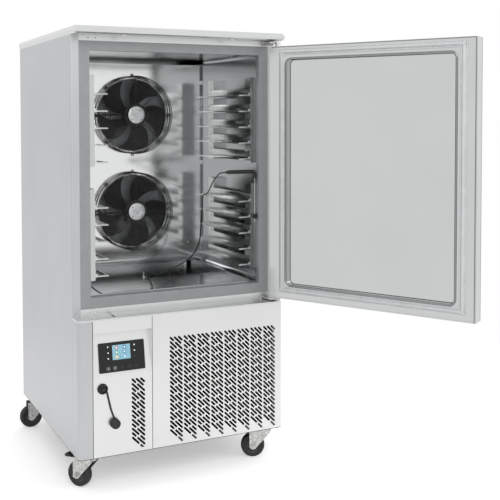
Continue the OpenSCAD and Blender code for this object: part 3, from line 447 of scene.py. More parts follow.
@dataclass(frozen=True)
class Lit(Finish):
    """Something that shines from behind the display glass."""

    roughness: float = 0.4
    strength: float = 1.0
    second: str = ""
    span_mm: float = 60.0

    def pattern(self, on: Surface) -> None:
        """Shine in the colour, changing slowly to the second one where it has one.

        Args:
            on: The surface that gets the pattern.
        """
        on.shader.inputs["Emission Color"].default_value = linear(self.colour)
        on.shader.inputs["Emission Strength"].default_value = self.strength
        if self.second:
            on.tint(on.grains(self.span_mm, 1.0), self.second, (0.0, 1.0), socket="Emission Color")


# Stainless and galvanised sheet
# The same brushed stainless toned by how light falls on each face: the sides darker, painted shade; the front
# lighter, painted light
SIDE_SHEET_PAINTED_SHADE = BrushedStainless("brushed_stainless_sides_painted_shade", "#bfc0c2", 0.36, shade="#b3b4b6")
FRONT_SHEET_PAINTED_LIGHT = BrushedStainless("brushed_stainless_front_painted_light", "#dcdddc", 0.3, grain=Grain.ALONG_X,
                               shade="#d8d9d9", depth=0.006)
COVER_SHEET = BrushedStainless("brushed_stainless_cover", "#d6d7d7", 0.28, grain=Grain.ALONG_X,
                               shade="#d1d2d2", depth=0.006)
DOOR_SHEET = BrushedStainless("brushed_stainless_door", "#cfd1d0", 0.3, shade="#c5c7c6")
DOOR_LINER = BrushedStainless("brushed_stainless_door_liner", "#cbcdcc", 0.11, shade="#c3c5c4", depth=0.01)
BACK_SHEET = BrushedStainless("brushed_stainless_back", "#b9babb", 0.38, grain=Grain.ALONG_X, shade="#9fa0a1")
GALVANISED = ZincPlated("galvanised_sheet", "#b7b9ba", 0.4)
# Darker copy of the door's stainless on the fold round the liner's recess: painted shade along its edge
FOLD_SHEET_PAINTED_SHADE = BrightStainless("folded_stainless_edge_painted_shade", "#8d8f90", 0.16, wave=300.0, depth=0.1)
# Darker copy of the door's stainless on its rolled corners: painted shade along the edges
ROLLED_EDGE_PAINTED_SHADE = BrightStainless("rolled_stainless_corner_painted_shade", "#7c7e80", 0.3, wave=300.0, depth=0.1)
# The same bright annealed stainless in two tones: the fan panel lighter, painted light; the liner and its
# strips darker, painted shade of the cabinet's inside
FAN_PANEL_SHEET_PAINTED_LIGHT = BrightStainless("bright_annealed_fan_panel_painted_light", "#e0e1e1", 0.12, wave=260.0, depth=0.25)
LINER_SHEET_PAINTED_SHADE = BrightStainless("bright_annealed_liner_painted_shade", "#adafb0", 0.17, wave=200.0, depth=0.5)
RACK_STEEL = BrightStainless("polished_rack_steel", "#c4c6c6", 0.2, wave=60.0, depth=0.2)
# Plastics and rubbers
FRAME_PLASTIC = MouldedPlastic("extruded_grey_abs", "#96989a", 0.42, texture=1.2, shade="#8b8d8f", amount=0.5)
SEAL_PVC = MouldedPlastic("soft_extruded_pvc", "#d3d5d6", 0.5, texture=1.5, shade="#c3c5c6", amount=0.5)
BLACK_ABS = MouldedPlastic("moulded_black_abs", "#1b1c1d")
NYLON = MouldedPlastic("moulded_dark_nylon", "#2b2c2d", 0.42, texture=1.0, shade="#3a3b3c", amount=0.6)
# Near-black sheet laid behind the vent slots: painted shade of the dark compartment, not a real filter
SLOT_SHADE_SHEET = MouldedPlastic("slot_painted_shade_sheet", "#070707", 0.9, texture=1.5, shade="#0d0d0d", amount=0.5,
                            specular=0.1)
FAN_PLASTIC = MouldedPlastic("glass_filled_nylon", "#050506", 0.2, texture=0.8, shade="#09090a", amount=0.5,
                             specular=0.3)
PIPE_PLASTIC = MouldedPlastic("grey_polypropylene", "#8d9092", 0.45, texture=1.2, shade="#7f8284", amount=0.5)
CAP_RUBBER = Rubber("moulded_black_rubber", "#141414", 0.55, shade="#262626")
TYRE_RUBBER = Rubber("vulcanised_tyre_rubber", "#151515", 0.62, shade="#2b2b2a")
MOUNT_RUBBER = Rubber("compressor_mount_rubber", "#2e2e2e")
CABLE_SKIN = Rubber("black_cable_silicone", "#101010", 0.45, shade="#1c1c1c")
# Plating, coatings, castings and coils
ZINC = ZincPlated("bright_zinc_plate", "#cfcfca")
SCREW_STEEL = ZincPlated("turned_stainless_screw", "#d6d6d3", 0.24, shade="#b5b5b2")
# Near-black on the machine base and cabinet bottom: painted shade of the dark compartment, not their own
# sheet colour
BASE_SHEET_PAINTED_SHADE = StovedEnamel("base_sheet_painted_shade", "#232527", 0.5)
BLACK_ENAMEL = StovedEnamel("stoved_black_enamel", "#0d0e10")
GUARD_ENAMEL = StovedEnamel("black_guard_wire_coating", "#232527", 0.2)
MOTOR_CASTING = ZincPlated("satin_motor_casting", "#d2d3d4", 0.3, shade="#a5a7a9")
COIL_FINS = RolledFins("rolled_aluminium_fins", "#c3c7c9")
# Near-black condenser fins: painted shade of the dark compartment behind the slots
CONDENSER_FINS_PAINTED_SHADE = RolledFins("condenser_fins_painted_shade", "#1a1c1e", 0.55, 0.0, gap_shade="#050505")
COPPER = DrawnCopper("drawn_copper", "#b87347")
FOAM = CellFoam("polyurethane_foam", "#e8d9a6")
# The display
GLASS = DisplayGlass("back_painted_glass", "#050507")
SCREEN = Lit("backlit_screen", "#7fa9b8", strength=0.42, second="#4c7f98", span_mm=26.0)
WHITE_MARK = Lit("lit_white_mark", "#eef2f3", strength=0.5)
DIM_MARK = Lit("dim_white_mark", "#3c3f41", strength=0.08)
KEY_MARK = Lit("lit_key_mark", "#a8abad", strength=0.3)
AMBER_MARK = Lit("lit_amber_mark", "#c9a25e", strength=0.45)
RED_MARK = Lit("lit_red_mark", "#a9645a", strength=0.45)
BLUE_MARK = Lit("lit_blue_mark", "#3f6f92", strength=0.45)
GREEN_MARK = Lit("lit_green_mark", "#5f9a68", strength=0.45)


# ---- Making pieces ----

SMOOTH_BELOW = math.radians(38)


def link(name: str, data: bpy.types.ID) -> bpy.types.Object:
    """Make an object of some data and link it to the scene.

    Args:
        name: Name of the object.
        data: Its mesh, curve, lamp or camera.

    Returns:
        The object.
    """
    made = bpy.data.objects.new(name, data)
    bpy.context.scene.collection.objects.link(made)
    return made


class Shape:
    """A mesh under construction and the few operations that shape it."""

    def __init__(self) -> None:
        """Start with an empty mesh."""
        self.bm = bmesh.new()

    def lathe(self, profile: Sequence[Pair], centre: Vector, axis: Vector, steps: int = 48,
              closed: bool = True) -> "Shape":
        """Turn a profile about an axis.

        Args:
            profile: Radius and place along the axis in millimetres.
            centre: Point on the axis in metres.
            axis: Direction of the axis.
            steps: Steps of the full turn.
            closed: Whether the last point joins the first; else it runs from pole to pole.

        Returns:
            This shape.
        """
        axis = axis.normalized()
        side = axis.orthogonal().normalized()
        verts = [self.bm.verts.new(centre + side * r * MM + axis * a * MM) for r, a in profile]
        ends = verts[1:] + verts[:1] if closed else verts[1:]
        edges = [self.bm.edges.new(pair) for pair in zip(verts, ends)]
        bmesh.ops.spin(self.bm, geom=verts + edges, cent=centre, axis=axis, angle=math.tau, steps=steps,
                       use_merge=True)
        bmesh.ops.remove_doubles(self.bm, verts=self.bm.verts, dist=1e-6)
        return self

    def hoop(self, centre: Vector, axis: Vector, radius: float, wire: float, steps: int = 64,
             sides: int = 8) -> "Shape":
        """Add a round wire bent to a hoop, sizes in millimetres.

        Args:
            centre: Middle of the hoop in metres.
            axis: Direction that the hoop faces.
            radius: Radius of the hoop.
            wire: Radius of the wire.
            steps: Steps of the full turn.
            sides: Sides of the wire.

        Returns:
            This shape.
        """
        section = [(radius + wire * math.cos(math.tau * k / sides), wire * math.sin(math.tau * k / sides))
                   for k in range(sides)]
        return self.lathe(section, centre, axis, steps)

    def rod(self, start: Vector, end: Vector, radius: float, sides: int = 12, tip: float | None = None
            ) -> "Shape":
        """Add a round bar between two places, its radii in millimetres.

        Args:
            start: One end in metres.
            end: The other end.
            radius: Radius at the start.
            sides: Sides of the bar.
            tip: Radius at the end, where it differs.

        Returns:
            This shape.
        """
        run = end - start
        turn = run.to_track_quat("Z", "Y").to_matrix().to_4x4()
        bmesh.ops.create_cone(self.bm, cap_ends=True, cap_tris=False, segments=sides, radius1=radius * MM,
                              radius2=(radius if tip is None else tip) * MM, depth=run.length,
                              matrix=Matrix.Translation((start + end) / 2) @ turn)
        return self

    def block(self, low: Vector, high: Vector, edge: float = 0.5, place: Matrix | None = None,
              segments: int = 2) -> "Shape":
        """Add a block with rounded edges.

        Args:
            low: Lower corner in metres.
            high: Upper corner.
            edge: Width of the rounding in millimetres.
            place: Turn and move of the block, where it has one.
            segments: Steps of the rounding.

        Returns:
            This shape.
        """
        size = high - low
        made = bmesh.ops.create_cube(self.bm, size=1.0, matrix=(place or Matrix.Identity(4))
                                     @ Matrix.Translation((low + high) / 2) @ Matrix.Diagonal((*size, 1.0)))
        edges = list({e for v in made["verts"] for e in v.link_edges})
        bmesh.ops.bevel(self.bm, geom=edges, offset=edge * MM, offset_type="OFFSET", segments=segments,
                        profile=0.5, affect="EDGES", material=-1, clamp_overlap=True)
        return self

    def surround(self, low: Pair, high: Pair, radius: float,
                 section: list[Pair], steps: int = 8) -> "Shape":
        """Sweep a closed section round an upright rectangle with round corners.

        Args:
            low: Lower corner of the rectangle, X and Z in millimetres.
            high: Upper corner.
            radius: Radius of its corners.
            section: Points as the distance outward from the rectangle and Y, in millimetres.
            steps: Steps of each corner.

        Returns:
            This shape.
        """
        rings = []
        left, right = low[0] + radius, high[0] - radius
        foot, head = low[1] + radius, high[1] - radius
        for turn, (cx, cz) in enumerate(((right, head), (left, head), (left, foot), (right, foot))):
            for step in range(steps + 1):
                a = math.pi / 2 * (turn + step / steps)
                across, up = math.cos(a), math.sin(a)
                places = [point(cx + (radius + out) * across, y, cz + (radius + out) * up)
                          for out, y in section]
                rings.append([self.bm.verts.new(place) for place in places])
        for ring, after in zip(rings, rings[1:] + rings[:1]):
            for k in range(len(section)):
                j = (k + 1) % len(section)
                self.bm.faces.new((ring[k], ring[j], after[j], after[k]))
        return self

    def turned(self, turn: Matrix) -> "Shape":
        """Turn all that is made so far."""
        bmesh.ops.transform(self.bm, matrix=turn, verts=self.bm.verts)
        return self

    def plate(self, outline: list[Vector], rise: Vector) -> "Shape":
        """Add a flat plate from its outline, raised by a vector.

        Args:
            outline: Corners in metres.
            rise: Thickness and its direction in metres.

        Returns:
            This shape.
        """
        face = self.bm.faces.new([self.bm.verts.new(p) for p in outline])
        made = bmesh.ops.extrude_face_region(self.bm, geom=[face])
        moved = [v for v in made["geom"] if isinstance(v, bmesh.types.BMVert)]
        bmesh.ops.translate(self.bm, vec=rise, verts=moved)
        return self

    def mesh(self, name: str) -> bpy.types.Mesh:
        """Turn what was made into a mesh, its faces outward.

        Args:
            name: Name of the mesh.

        Returns:
            The mesh; the shape is done with.
        """
        bmesh.ops.recalc_face_normals(self.bm, faces=self.bm.faces)
        mesh = bpy.data.meshes.new(name)
        self.bm.to_mesh(mesh)
        self.bm.free()
        return mesh

    def piece(self, name: str, finish: Finish, slot: str, body: str = Body.CABINET.value, smooth: bool = True,
              replaces: tuple[str, ...] = ()) -> bpy.types.Object:
        """Finish the mesh as a piece of the object.

        Args:
            name: Name of the piece.
            finish: Its surface.
            slot: Material slot of the record; not used.
            body: Body that it rides on.
            smooth: Whether curved faces are shaded smooth.
            replaces: Frame nodes that the piece stands for.

        Returns:
            The object, at the origin.
        """
        mesh = self.mesh(name)
        made = link(name, mesh)
        mesh.materials.append(finish.material())
        if smooth:
            mesh.shade_smooth()
            mesh.set_sharp_from_angle(angle=SMOOTH_BELOW)
        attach(made, body)
        if replaces:
            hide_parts(*replaces)
        LOG.info("%s: %d faces on %s", name, len(mesh.polygons), body)
        return made


def cable(name: str, places: list[Vector], diameter: float) -> bpy.types.Object:
    """Lay a round black cable of the cabinet through places on one smooth curve.

    Args:
        name: Name of the piece.
        places: Points that it passes, in metres.
        diameter: Its diameter in millimetres.

    Returns:
        The curve object.
    """
    curve = bpy.data.curves.new(name, "CURVE")
    curve.dimensions = "3D"
    curve.bevel_depth = diameter * MM / 2
    curve.bevel_resolution = 3
    curve.use_fill_caps = True
    curve.resolution_u = 8
    spline = curve.splines.new("BEZIER")
    spline.bezier_points.add(len(places) - 1)
    for knot, place in zip(spline.bezier_points, places):
        knot.co = place
        knot.handle_left_type = knot.handle_right_type = "AUTO"
    curve.materials.append(CABLE_SKIN.material())
    made = link(name, curve)
    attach(made, Body.CABINET.value)
    LOG.info("%s: cable with %d points", name, len(places))
    return made


def dress(finishes: dict[Finish, tuple[str, ...]]) -> None:
    """Give frame nodes their finishes; their meshes stay as they are.

    Args:
        finishes: Each finish with the names of its nodes.
    """
    for finish, nodes in finishes.items():
        for node in nodes:
            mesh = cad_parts[node].data
            if not mesh.materials:
                mesh.materials.append(None)
            for index in range(len(mesh.materials)):
                mesh.materials[index] = finish.material()


# ---- Studio ----


@dataclass(frozen=True)
class Lamp:
    """A large soft lamp: its name, place and aim in metres, diameter in metres and power in watts."""

    name: str
    place: Triple
    aim: Triple
    size: float
    power: float

    def build(self) -> None:
        """Hang the lamp and turn it to its aim."""
        data = bpy.data.lights.new(self.name, "AREA")
        data.shape = "DISK"
        data.size = self.size
        data.energy = self.power
        run = Vector(self.aim) - Vector(self.place)
        turn = run.to_track_quat("-Z", "Y").to_matrix().to_4x4()
        link(self.name, data).matrix_world = Matrix.Translation(self.place) @ turn


@dataclass
class Studio:
    """Camera at the photograph's viewpoint, soft lamps and a pale floor."""

    place: Triple = (-1.22428, -3.35442, 1.29455)
    yaw: float = -25.6503
    pitch: float = -2.1718
    roll: float = -0.0887
    lens: float = 64.512
    sensor: float = 36.0
    shift: Pair = (0.036, -0.2)
    sight: float = 60.0
    ambient: float = 0.62
    lamps: tuple[Lamp, ...] = (
        Lamp("key", (-1.2, -4.6, 3.6), (0.1, 0.0, 0.8), 3.4, 88.0),
        Lamp("fill", (3.8, -3.0, 2.6), (0.0, 0.0, 0.8), 2.8, 40.0),
        Lamp("back", (1.5, 4.0, 3.2), (0.0, 0.0, 0.8), 3.0, 45.0))
    white: str = "#ffffff"
    floor_paint: str = "#f4f4f4"
    floor_half: float = 14.0
    floor_glow: float = 0.4
    floor_fade: Pair = (1.0, 2.6)

    def camera(self) -> None:
        """Set the camera up."""
        data = bpy.data.cameras.new("viewpoint")
        data.lens = self.lens
        data.sensor_width = self.sensor
        data.shift_x, data.shift_y = self.shift
        data.clip_end = self.sight
        made = link("viewpoint", data)
        turn = (Matrix.Rotation(math.radians(self.yaw), 4, "Z")
                @ Matrix.Rotation(math.radians(90 + self.pitch), 4, "X")
                @ Matrix.Rotation(math.radians(self.roll), 4, "Z"))
        made.matrix_world = Matrix.Translation(self.place) @ turn
        bpy.context.scene.camera = made

    def rays(self, tree: bpy.types.NodeTree, *kinds: str) -> Socket:
        """Return an output that is one for rays of the given kinds.

        Args:
            tree: Node tree that asks.
            kinds: Names of the kinds of ray.

        Returns:
            The output.
        """
        path = add_node(tree, "ShaderNodeLightPath")
        made = path.outputs[kinds[0]]
        for kind in kinds[1:]:
            made = add_node(tree, "ShaderNodeMath", {0: made, 1: path.outputs[kind]},
                            operation="MAXIMUM").outputs[0]
        return made

    def world(self) -> None:
        """White for the camera and in metal and glass, and an even soft light on the rest."""
        world = bpy.data.worlds.new("studio")
        bpy.context.scene.world = world
        tree = empty_tree(world)
        strength = add_node(tree, "ShaderNodeMapRange", {
            "Value": self.rays(tree, "Is Camera Ray", "Is Glossy Ray", "Is Transmission Ray"),
            "To Min": self.ambient, "To Max": 1.0})
        light = add_node(tree, "ShaderNodeBackground", {
            "Color": linear(self.white), "Strength": strength.outputs["Result"]})
        add_node(tree, "ShaderNodeOutputWorld", {"Surface": light.outputs["Background"]})

    def floor(self) -> None:
        """Lay a pale floor that keeps the object's shadow and is white to the camera elsewhere."""
        shape = Shape()
        bmesh.ops.create_grid(shape.bm, x_segments=1, y_segments=1, size=self.floor_half)
        mesh = shape.mesh("floor")
        paint = bpy.data.materials.new("white_floor_paint")
        tree = empty_tree(paint)
        matt = add_node(tree, "ShaderNodeBsdfDiffuse", {"Color": linear(self.floor_paint)})
        glow = add_node(tree, "ShaderNodeEmission", {
            "Color": linear(self.white), "Strength": self.floor_glow})
        near = add_node(tree, "ShaderNodeAddShader", {0: matt.outputs[0], 1: glow.outputs[0]})
        coords = add_node(tree, "ShaderNodeTexCoord")
        away = add_node(tree, "ShaderNodeVectorMath", {0: coords.outputs["Object"]}, operation="LENGTH")
        share = add_node(tree, "ShaderNodeMapRange", {
            "Value": away.outputs["Value"], "From Min": self.floor_fade[0], "From Max": self.floor_fade[1]},
            interpolation_type="SMOOTHSTEP")
        white = add_node(tree, "ShaderNodeEmission", {"Color": linear(self.white), "Strength": 1.0})
        both = add_node(tree, "ShaderNodeMixShader", {
            0: share.outputs["Result"], 1: near.outputs[0], 2: white.outputs[0]})
        mixed = add_node(tree, "ShaderNodeMixShader", {
            0: self.rays(tree, "Is Camera Ray", "Is Glossy Ray"), 1: matt.outputs[0], 2: both.outputs[0]})
        add_node(tree, "ShaderNodeOutputMaterial", {"Surface": mixed.outputs[0]})
        mesh.materials.append(paint)
        link("floor", mesh)

    def light(self) -> None:
        """Set the world, the lamps, the floor and the view transform up."""
        self.world()
        for lamp in self.lamps:
            lamp.build()
        self.floor()
        bpy.context.scene.view_settings.view_transform = "Standard"


# ---- Core probe ----


@dataclass
class CoreProbe:
    """Probe in its clip, and its cable to the gland in the left wall."""

    route: tuple[Triple, ...] = (
        (-322, -185, 695), (-310, -185, 694.5), (-299, -188, 689), (-287, -194, 679), (-274, -202, 666.5),
        (-259, -211, 654), (-240, -220, 645), (-214, -227, 641), (-180, -230, 640.5), (-120, -226, 640.5),
        (-72, -212, 640.5), (-38, -175, 640.5), (-12, -110, 640.5), (10, -40, 640.5), (30, 25, 640.5),
        (44, 60, 640.5), (62, 82, 640.5), (84, 88, 643), (112, 80, 652), (148, 66, 668), (180, 54, 686),
        (206, 44, 704), (226, 36, 726), (238, 30, 748), (245, 20, 776), (247, 10, 820), (248.5, 2, 870),
        (249, -4, 915), (249, -8, 955), (249.5, -13, 970), (252.5, -22, 976), (257, -34, 979.5),
        (256, -52, 990), (248, -90, 1012), (236, -140, 1036), (222, -195, 1054), (206, -250, 1068),
        (190, -296, 1077), (183, -320, 1081), (184, -333, 1083), (194, -341, 1084.5), (208, -341, 1085))
    diameter: float = 4.6
    length: float = 1.44
    mouth: Triple = (208, -341, 1085)
    ribs: range = range(216, 290, 5)
    rib_radius: float = 7.0
    rib_wire: float = 0.8
    sleeve: tuple[Pair, ...] = ((2.4, -12), (3.4, -12), (6.8, 0), (2.4, 0))

    def lay_cable(self) -> bpy.types.Object:
        """Lay the cable along the frame's route, from the gland to the handle.

        Returns:
            The cable.
        """
        made = cable("core_probe_cable", [point(*p) for p in self.route], self.diameter)
        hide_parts("probe_cable")
        return made

    def grip(self) -> bpy.types.Object:
        """Raise ribs round the handle and the sleeve that the cable comes out of.

        Returns:
            The ribs and the sleeve as one piece.
        """
        shape = Shape()
        for x in self.ribs:
            shape.hoop(point(x, *self.mouth[1:]), X_AXIS, self.rib_radius, self.rib_wire, 32, 6)
        shape.lathe(self.sleeve, point(*self.mouth), X_AXIS, 24)
        return shape.piece("probe_grip_ribs", BLACK_ABS, "black_plastic")

    def build(self) -> None:
        flex = self.lay_cable()
        ribs = self.grip()
        dress({BLACK_ABS: ("probe_handle", "probe_clip", "cable_glands"), SCREW_STEEL: ("probe_needle",)})


# ---- Cabinet ----


@dataclass
class CabinetShell:
    """Panels, cover, frame and liner, with the screws that hold them."""

    rail_screws: tuple[Pair, ...] = ((-380, -356.6), (-333, -358.1), (-306, -358.1))
    rails: Pair = (613, 1565)
    panel_screws: tuple[float, ...] = (752.19, 1095.33, 1438.47)
    panel_screw_x: float = 272.0
    panel_y: float = 198.4
    back_screw_x: float = 387.0
    back_y: float = 421.6
    back_rows: range = range(660, 1501, 120)
    recess_half: Triple = (1.9, 0.06, 0.45)
    recess_lift: float = 0.02
    strip_x: Pair = (-334.4, 327.6)
    strip_width: float = 6.8
    strip_y: Pair = (203, 204.2)
    strip_z: Pair = (672, 1508)
    sill_half: float = 327.0
    sill_top: float = 696.0

    def recess(self, shape: Shape, place: Vector, out: float) -> None:
        """Paint the shade in a screw's cross recess as two crossed black bars on its head.

        Args:
            shape: Mesh that gets the bars.
            place: Middle of the head in metres.
            out: 1 where the head faces the rear, else -1.
        """
        place = place + Y_AXIS * out * self.recess_lift * MM
        for order in (1, -1):
            half = Vector(self.recess_half[::order]) * MM
            shape.block(place - half, place + half, 0.05, segments=1)

    def screws(self) -> None:
        """Put the painted shade of the cross recesses on the front, inner and rear screws."""
        heads = [(x, y, z, -1) for z in self.rails for x, y in self.rail_screws]
        heads += [(x, self.panel_y, z, -1) for z in self.panel_screws
                  for x in (-self.panel_screw_x, self.panel_screw_x)]
        heads += [(x, self.back_y, z, 1) for z in self.back_rows
                  for x in (-self.back_screw_x, self.back_screw_x)]
        shape = Shape()
        for x, y, z, out in heads:
            self.recess(shape, point(x, y, z), out)
        # Black bars on the screw heads: painted shade of the cross recesses
        shape.piece("screw_recess_painted_shade", BLACK_ENAMEL, "black_plastic", smooth=False)

    def strips(self) -> None:
        """Fold the strips that close the gaps between the fan panel, the side walls and the floor."""
        shape = Shape()
        (near, far), (low, high) = self.strip_y, self.strip_z
        for x in self.strip_x:
            shape.block(point(x, near, low), point(x + self.strip_width, far, high), 0.3)
        shape.block(point(-self.sill_half, near, low), point(self.sill_half, far, self.sill_top), 0.3)
        shape.piece("fan_panel_strips", LINER_SHEET_PAINTED_SHADE, "mirror_steel")

    def build(self) -> None:
        """Dress the sheets and add the painted shade of the screws' recesses, and the strips."""
        dress({
            # Side panels and corner post: painted shade, a darker tone of the stainless
            SIDE_SHEET_PAINTED_SHADE: ("left_side_panel", "right_side_panel", "corner_post"),
            BACK_SHEET: ("rear_panel", "rear_grille"),
            # Machine base and cabinet bottom: painted shade, darkened sheet
            BASE_SHEET_PAINTED_SHADE: ("machine_base", "cabinet_bottom"),
            COVER_SHEET: ("top_cover", "front_rails", "sill_profile"),
            # Fan panel: painted light; liner: painted shade
            FAN_PANEL_SHEET_PAINTED_LIGHT: ("fan_panel",),
            LINER_SHEET_PAINTED_SHADE: ("cavity_liner",),
            FRAME_PLASTIC: ("breaker_frame",),
            FOAM: ("cabinet_insulation", "door_foam"),
            SCREW_STEEL: ("fasteners",),
            RACK_STEEL: ("rack_uprights", "drain_plug"),
            PIPE_PLASTIC: ("drain_pipe",),
        })
        self.screws()
        self.strips()


@dataclass
class TrayRacks:
    """Ten levels of pressed runners on each side, with ridged ledges and curled front ends."""

    levels: tuple[float, ...] = (730, 790, 850, 910, 970, 1130, 1190, 1250, 1310, 1370)
    web: float = 305.0
    ledge: float = 255.0
    front: float = -333.0
    back: float = 57.0
    sheet: float = 1.5
    rise: float = 30.0
    drop: float = 4.0
    ridges: tuple[float, ...] = (0, 16, 32)
    ridge_width: float = 5.0
    curl: float = 2.4
    fold: float = 0.4

    def bar(self, shape: Shape, side: int, x: Pair, y: Pair,
            z: Pair, edge: float) -> None:
        """Add a bar on one side, X counted outward from the middle."""
        low, high = sorted((side * x[0], side * x[1]))
        shape.block(point(low, y[0], z[0]), point(high, y[1], z[1]), edge)

    def side(self, name: str, side: int) -> None:
        """Press the runners of one side.

        Args:
            name: Node that the piece stands for.
            side: 1 on the right and -1 on the left.
        """
        shape = Shape()
        run = (self.front, self.back)
        curl_y = self.front + self.curl
        for z in self.levels:
            self.bar(shape, side, (self.web - self.sheet, self.web), run, (z - self.drop, z + self.rise),
                     self.fold)
            self.bar(shape, side, (self.ledge, self.web - 0.5), run, (z, z + self.sheet), self.fold)
            for x in self.ridges:
                self.bar(shape, side, (self.ledge + x, self.ledge + x + self.ridge_width),
                         (self.front + 1, self.back), (z + 0.8, z + 3.5), 1.2)
            self.bar(shape, side, (self.ledge + 3, self.ledge + 11), (self.back - 1, self.back + 20),
                     (z, z + self.sheet), self.fold)
            shape.rod(point(side * (self.ledge + 3), curl_y, z + 3.2),
                      point(side * (self.web - 3), curl_y, z + 3.2), self.curl, 14)
            self.bar(shape, side, (self.web - 9, self.web - 1), (self.front, self.front + 3),
                     (z + 1, z + 11), 1.0)
        shape.piece(f"{name}_pressed", RACK_STEEL, "brushed_steel", replaces=(name,))

    def build(self) -> None:
        """Make both sides."""
        self.side("right_runners", 1)
        self.side("left_runners", -1)


# ---- Control front ----

# Radius and Y of turned pieces, in millimetres
INSERT_PROFILE = [(0, -431.2), (7.4, -431.2), (7.8, -430.6), (7.8, -423)]
CUP_PROFILE = [(0, -438), (15.6, -438), (16.8, -437), (17, -435), (16.4, -433.5), (16.4, -425), (17, -423.6),
               (17, -420.6), (15.2, -420.6), (14.9, -434.8), (0, -434.8)]
STRAP_RING_PROFILE = [(14.9, -424), (18.2, -424), (18.4, -423.6), (18.4, -420.8), (18.2, -420.4),
                      (14.9, -420.4)]


@dataclass
class ControlFront:
    """Control panel with its sloping display, the data socket, the rubber cap and black sheets of painted
    shade behind the vent slots.
    """

    knee: Triple = (0, -420, 402)
    slope: float = 9.9
    glass: float = 2.5
    screen: tuple[float, float, float, float] = (-270.0, 51.0, -205.0, 101.0)
    icons: tuple[Finish, ...] = (RED_MARK, BLUE_MARK, GREEN_MARK, BLUE_MARK, AMBER_MARK, SCREEN)
    lamps: tuple[Pair, ...] = (
        (-285.5, 96.6), (-285.5, 76.8), (-285.5, 57.2), (-189.8, 95.9), (-189.8, 76.6))
    dim_lamp: Pair = (-189.8, 57.3)
    keys: tuple[Pair, ...] = (
        (-287.5, 23.5), (-263.0, 23.7), (-236.3, 23.8), (-210.3, 24.6), (-186.5, 24.1))
    lit_keys: int = 2
    key_radius: float = 6.4
    lamp_radius: float = 2.2
    socket: Pair = (-309.0, 359.0)
    cap: Pair = (-267.0, 235.0)
    strap_width: float = 6.0
    # Depth and outlines of the near-black sheets of painted shade behind the vent slots, in millimetres
    slot_shade_y: Pair = (-418.4, -416.6)
    slot_shade_boxes: tuple[tuple[float, float, float, float], ...] = ((-112, 128, 352, 586), (-208, 140, -134, 384))

    def out(self) -> Vector:
        """Return the direction in which the display faces."""
        a = math.radians(self.slope)
        return Vector((0, -math.cos(a), math.sin(a)))

    def on_glass(self, x: float, along: float, rise: float) -> Vector:
        """Return a place on the display glass, from sizes in millimetres.

        Args:
            x: X.
            along: Way up the slope from its lower edge.
            rise: Height over the glass.

        Returns:
            The place in metres.
        """
        a = math.radians(self.slope)
        up = Vector((0, math.sin(a), math.cos(a)))
        return point(*self.knee) + X_AXIS * x * MM + up * along * MM + self.out() * (self.glass + rise) * MM

    def dot(self, shape: Shape, x: float, along: float, radius: float, rise: float = 0.0) -> None:
        """Add a small flat disc on the glass."""
        foot = self.on_glass(x, along, rise)
        shape.rod(foot, foot + self.out() * 0.12 * MM, radius, 20)

    def ring(self, shape: Shape, x: float, along: float, radius: float, wire: float) -> None:
        """Add a thin flat ring on the glass."""
        shape.hoop(self.on_glass(x, along, 0.0), self.out(), radius, wire, 28, 4)

    def show(self, shape: Shape, name: str, finish: Finish) -> None:
        """Finish marks on the glass as a piece."""
        shape.piece(name, finish, "display_glass", smooth=False)

    def screen_icons(self) -> None:
        """Light the screen, with plain rings in two columns that have a pale middle each."""
        x0, s0, x1, s1 = self.screen
        corners = [self.on_glass(x, along, 0.05) for x, along in ((x0, s0), (x1, s0), (x1, s1), (x0, s1))]
        self.show(Shape().plate(corners, self.out() * 0.08 * MM), "display_screen", SCREEN)
        for number, tone in enumerate(self.icons):
            row, column = divmod(number, 2)
            x = x0 + (x1 - x0) * (0.24 + 0.44 * column)
            along = s1 - (s1 - s0) * (0.19 + 0.31 * row)
            icon, core = Shape(), Shape()
            self.ring(icon, x, along, 5.2, 1.3)
            self.show(icon, f"display_icon_{number + 1}", tone)
            self.dot(core, x, along, 2.4, 0.14)
            self.show(core, f"display_icon_core_{number + 1}", WHITE_MARK)

    def display(self) -> None:
        """Make the screen, the lamps beside it and the keys below it."""
        self.screen_icons()
        lamps, dim, bright = Shape(), Shape(), Shape()
        for spot in self.lamps:
            self.dot(lamps, *spot, self.lamp_radius)
        self.show(lamps, "display_lamps", WHITE_MARK)
        self.dot(dim, *self.dim_lamp, self.lamp_radius)
        for spot in self.keys[self.lit_keys:]:
            self.ring(dim, *spot, self.key_radius, 0.35)
            self.dot(dim, *spot, 2.0)
        self.show(dim, "display_dim_marks", DIM_MARK)
        for spot in self.keys[:self.lit_keys]:
            self.ring(bright, *spot, self.key_radius, 0.4)
            self.dot(bright, *spot, 2.4)
        self.show(bright, "display_bright_marks", KEY_MARK)

    def socket_thread(self) -> None:
        """Turn the thread of the socket's collar, and the insert in it with its contacts."""
        x, z = self.socket
        thread, insert, pins = Shape(), Shape(), Shape()
        for turn in range(4):
            thread.hoop(point(x, -431.6 + 2.1 * turn, z), Y_AXIS, 14.2, 0.55, 40, 6)
        thread.piece("socket_thread", BLACK_ABS, "black_plastic")
        insert.lathe(INSERT_PROFILE, point(x, 0, z), Y_AXIS, 32, False)
        insert.piece("socket_insert", NYLON, "black_plastic")
        for k in range(4):
            a = math.tau * k / 4 + math.pi / 4
            at = point(x + 4 * math.cos(a), -431.2, z + 4 * math.sin(a))
            pins.rod(at, at - Y_AXIS * 1.6 * MM, 0.8, 10)
        pins.piece("socket_contacts", SCREW_STEEL, "black_plastic")

